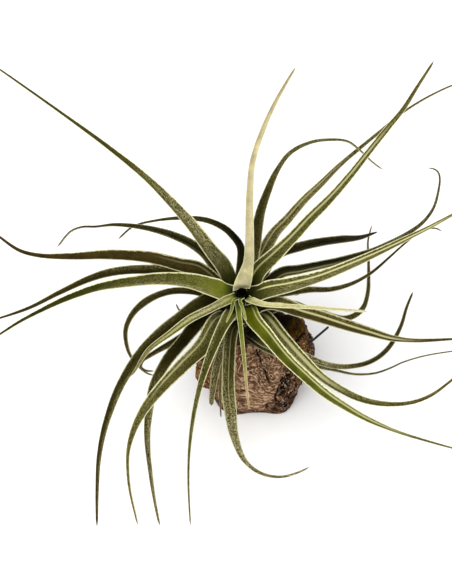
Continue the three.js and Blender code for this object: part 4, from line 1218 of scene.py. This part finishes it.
def add_key(settings):
    """Wide soft light from above, a little to the left and in front, as even as a large softbox."""
    lamp = bpy.data.lights.new("key", "SUN")
    lamp.angle = settings.key_spread
    lamp.energy = settings.key_power
    light = bpy.data.objects.new("key", lamp)
    bpy.context.scene.collection.objects.link(light)
    light.rotation_euler = Vector(KEY_FROM).to_track_quat("Z", "Y").to_euler()


def add_sky(settings):
    """Even white light from all round."""
    world = bpy.data.worlds.new("studio")
    world.use_nodes = True
    background = world.node_tree.nodes["Background"]
    background.inputs["Color"].default_value = (1, 1, 1, 1)
    background.inputs["Strength"].default_value = settings.sky
    bpy.context.scene.world = world


def add_camera():
    """Camera at the picture's place: its lens makes one pixel the stated size at the crown's distance."""
    camera = bpy.data.cameras.new("camera")
    view = bpy.data.objects.new("camera", camera)
    bpy.context.scene.collection.objects.link(view)
    turn = Matrix((tuple(RIGHT), tuple(UP), tuple(BACK))).transposed().to_4x4()
    view.matrix_world = Matrix.Translation(Vector(EYE * MM)) @ turn
    camera.sensor_width = VIEW["sensor"]
    camera.lens = VIEW["sensor"] * VIEW["distance"] / (IMAGE[1] * VIEW["mm_per_pixel"])
    camera.clip_start = 0.01
    camera.clip_end = 20
    bpy.context.scene.camera = view
    bpy.context.scene.view_settings.view_transform = "Standard"


class AIRPLANT_PT_panel(bpy.types.Panel):
    """Sidebar panel that lists the pieces and their settings"""

    bl_idname = "AIRPLANT_PT_panel"
    bl_label = "Air Plant"
    bl_space_type = "VIEW_3D"
    bl_region_type = "UI"
    bl_category = "Air Plant"

    def draw(self, context):
        for operator, settings in SECTIONS:
            box = self.layout.box()
            box.operator(operator.bl_idname)
            group = getattr(context.scene, settings)
            for key in group.bl_rna.properties.keys():
                if key not in ("rna_type", "name"):
                    box.prop(group, key)


SECTIONS = (
    (AIRPLANT_OT_leaves, "airplant_leaf"),
    (AIRPLANT_OT_stem, "airplant_stem"),
    (AIRPLANT_OT_wood, "airplant_wood"),
    (AIRPLANT_OT_wire, "airplant_wire"),
    (AIRPLANT_OT_stage, "airplant_stage"),
)
GROUPS = (LeafSettings, StemSettings, WoodSettings, WireSettings, StageSettings)


def register():
    for (operator, settings), group in zip(SECTIONS, GROUPS):
        bpy.utils.register_class(group)
        bpy.utils.register_class(operator)
        setattr(bpy.types.Scene, settings, PointerProperty(type=group))
    bpy.utils.register_class(AIRPLANT_PT_panel)


def unregister():
    bpy.utils.unregister_class(AIRPLANT_PT_panel)
    for (operator, settings), group in zip(SECTIONS, GROUPS):
        delattr(bpy.types.Scene, settings)
        bpy.utils.unregister_class(operator)
        bpy.utils.unregister_class(group)


def main():
    """Builds every piece in order."""
    register()
    bpy.ops.airplant.leaves()
    bpy.ops.airplant.stem()
    bpy.ops.airplant.wood()
    bpy.ops.airplant.wire()
    bpy.ops.airplant.stage()


if __name__ == "__main__":
    main()
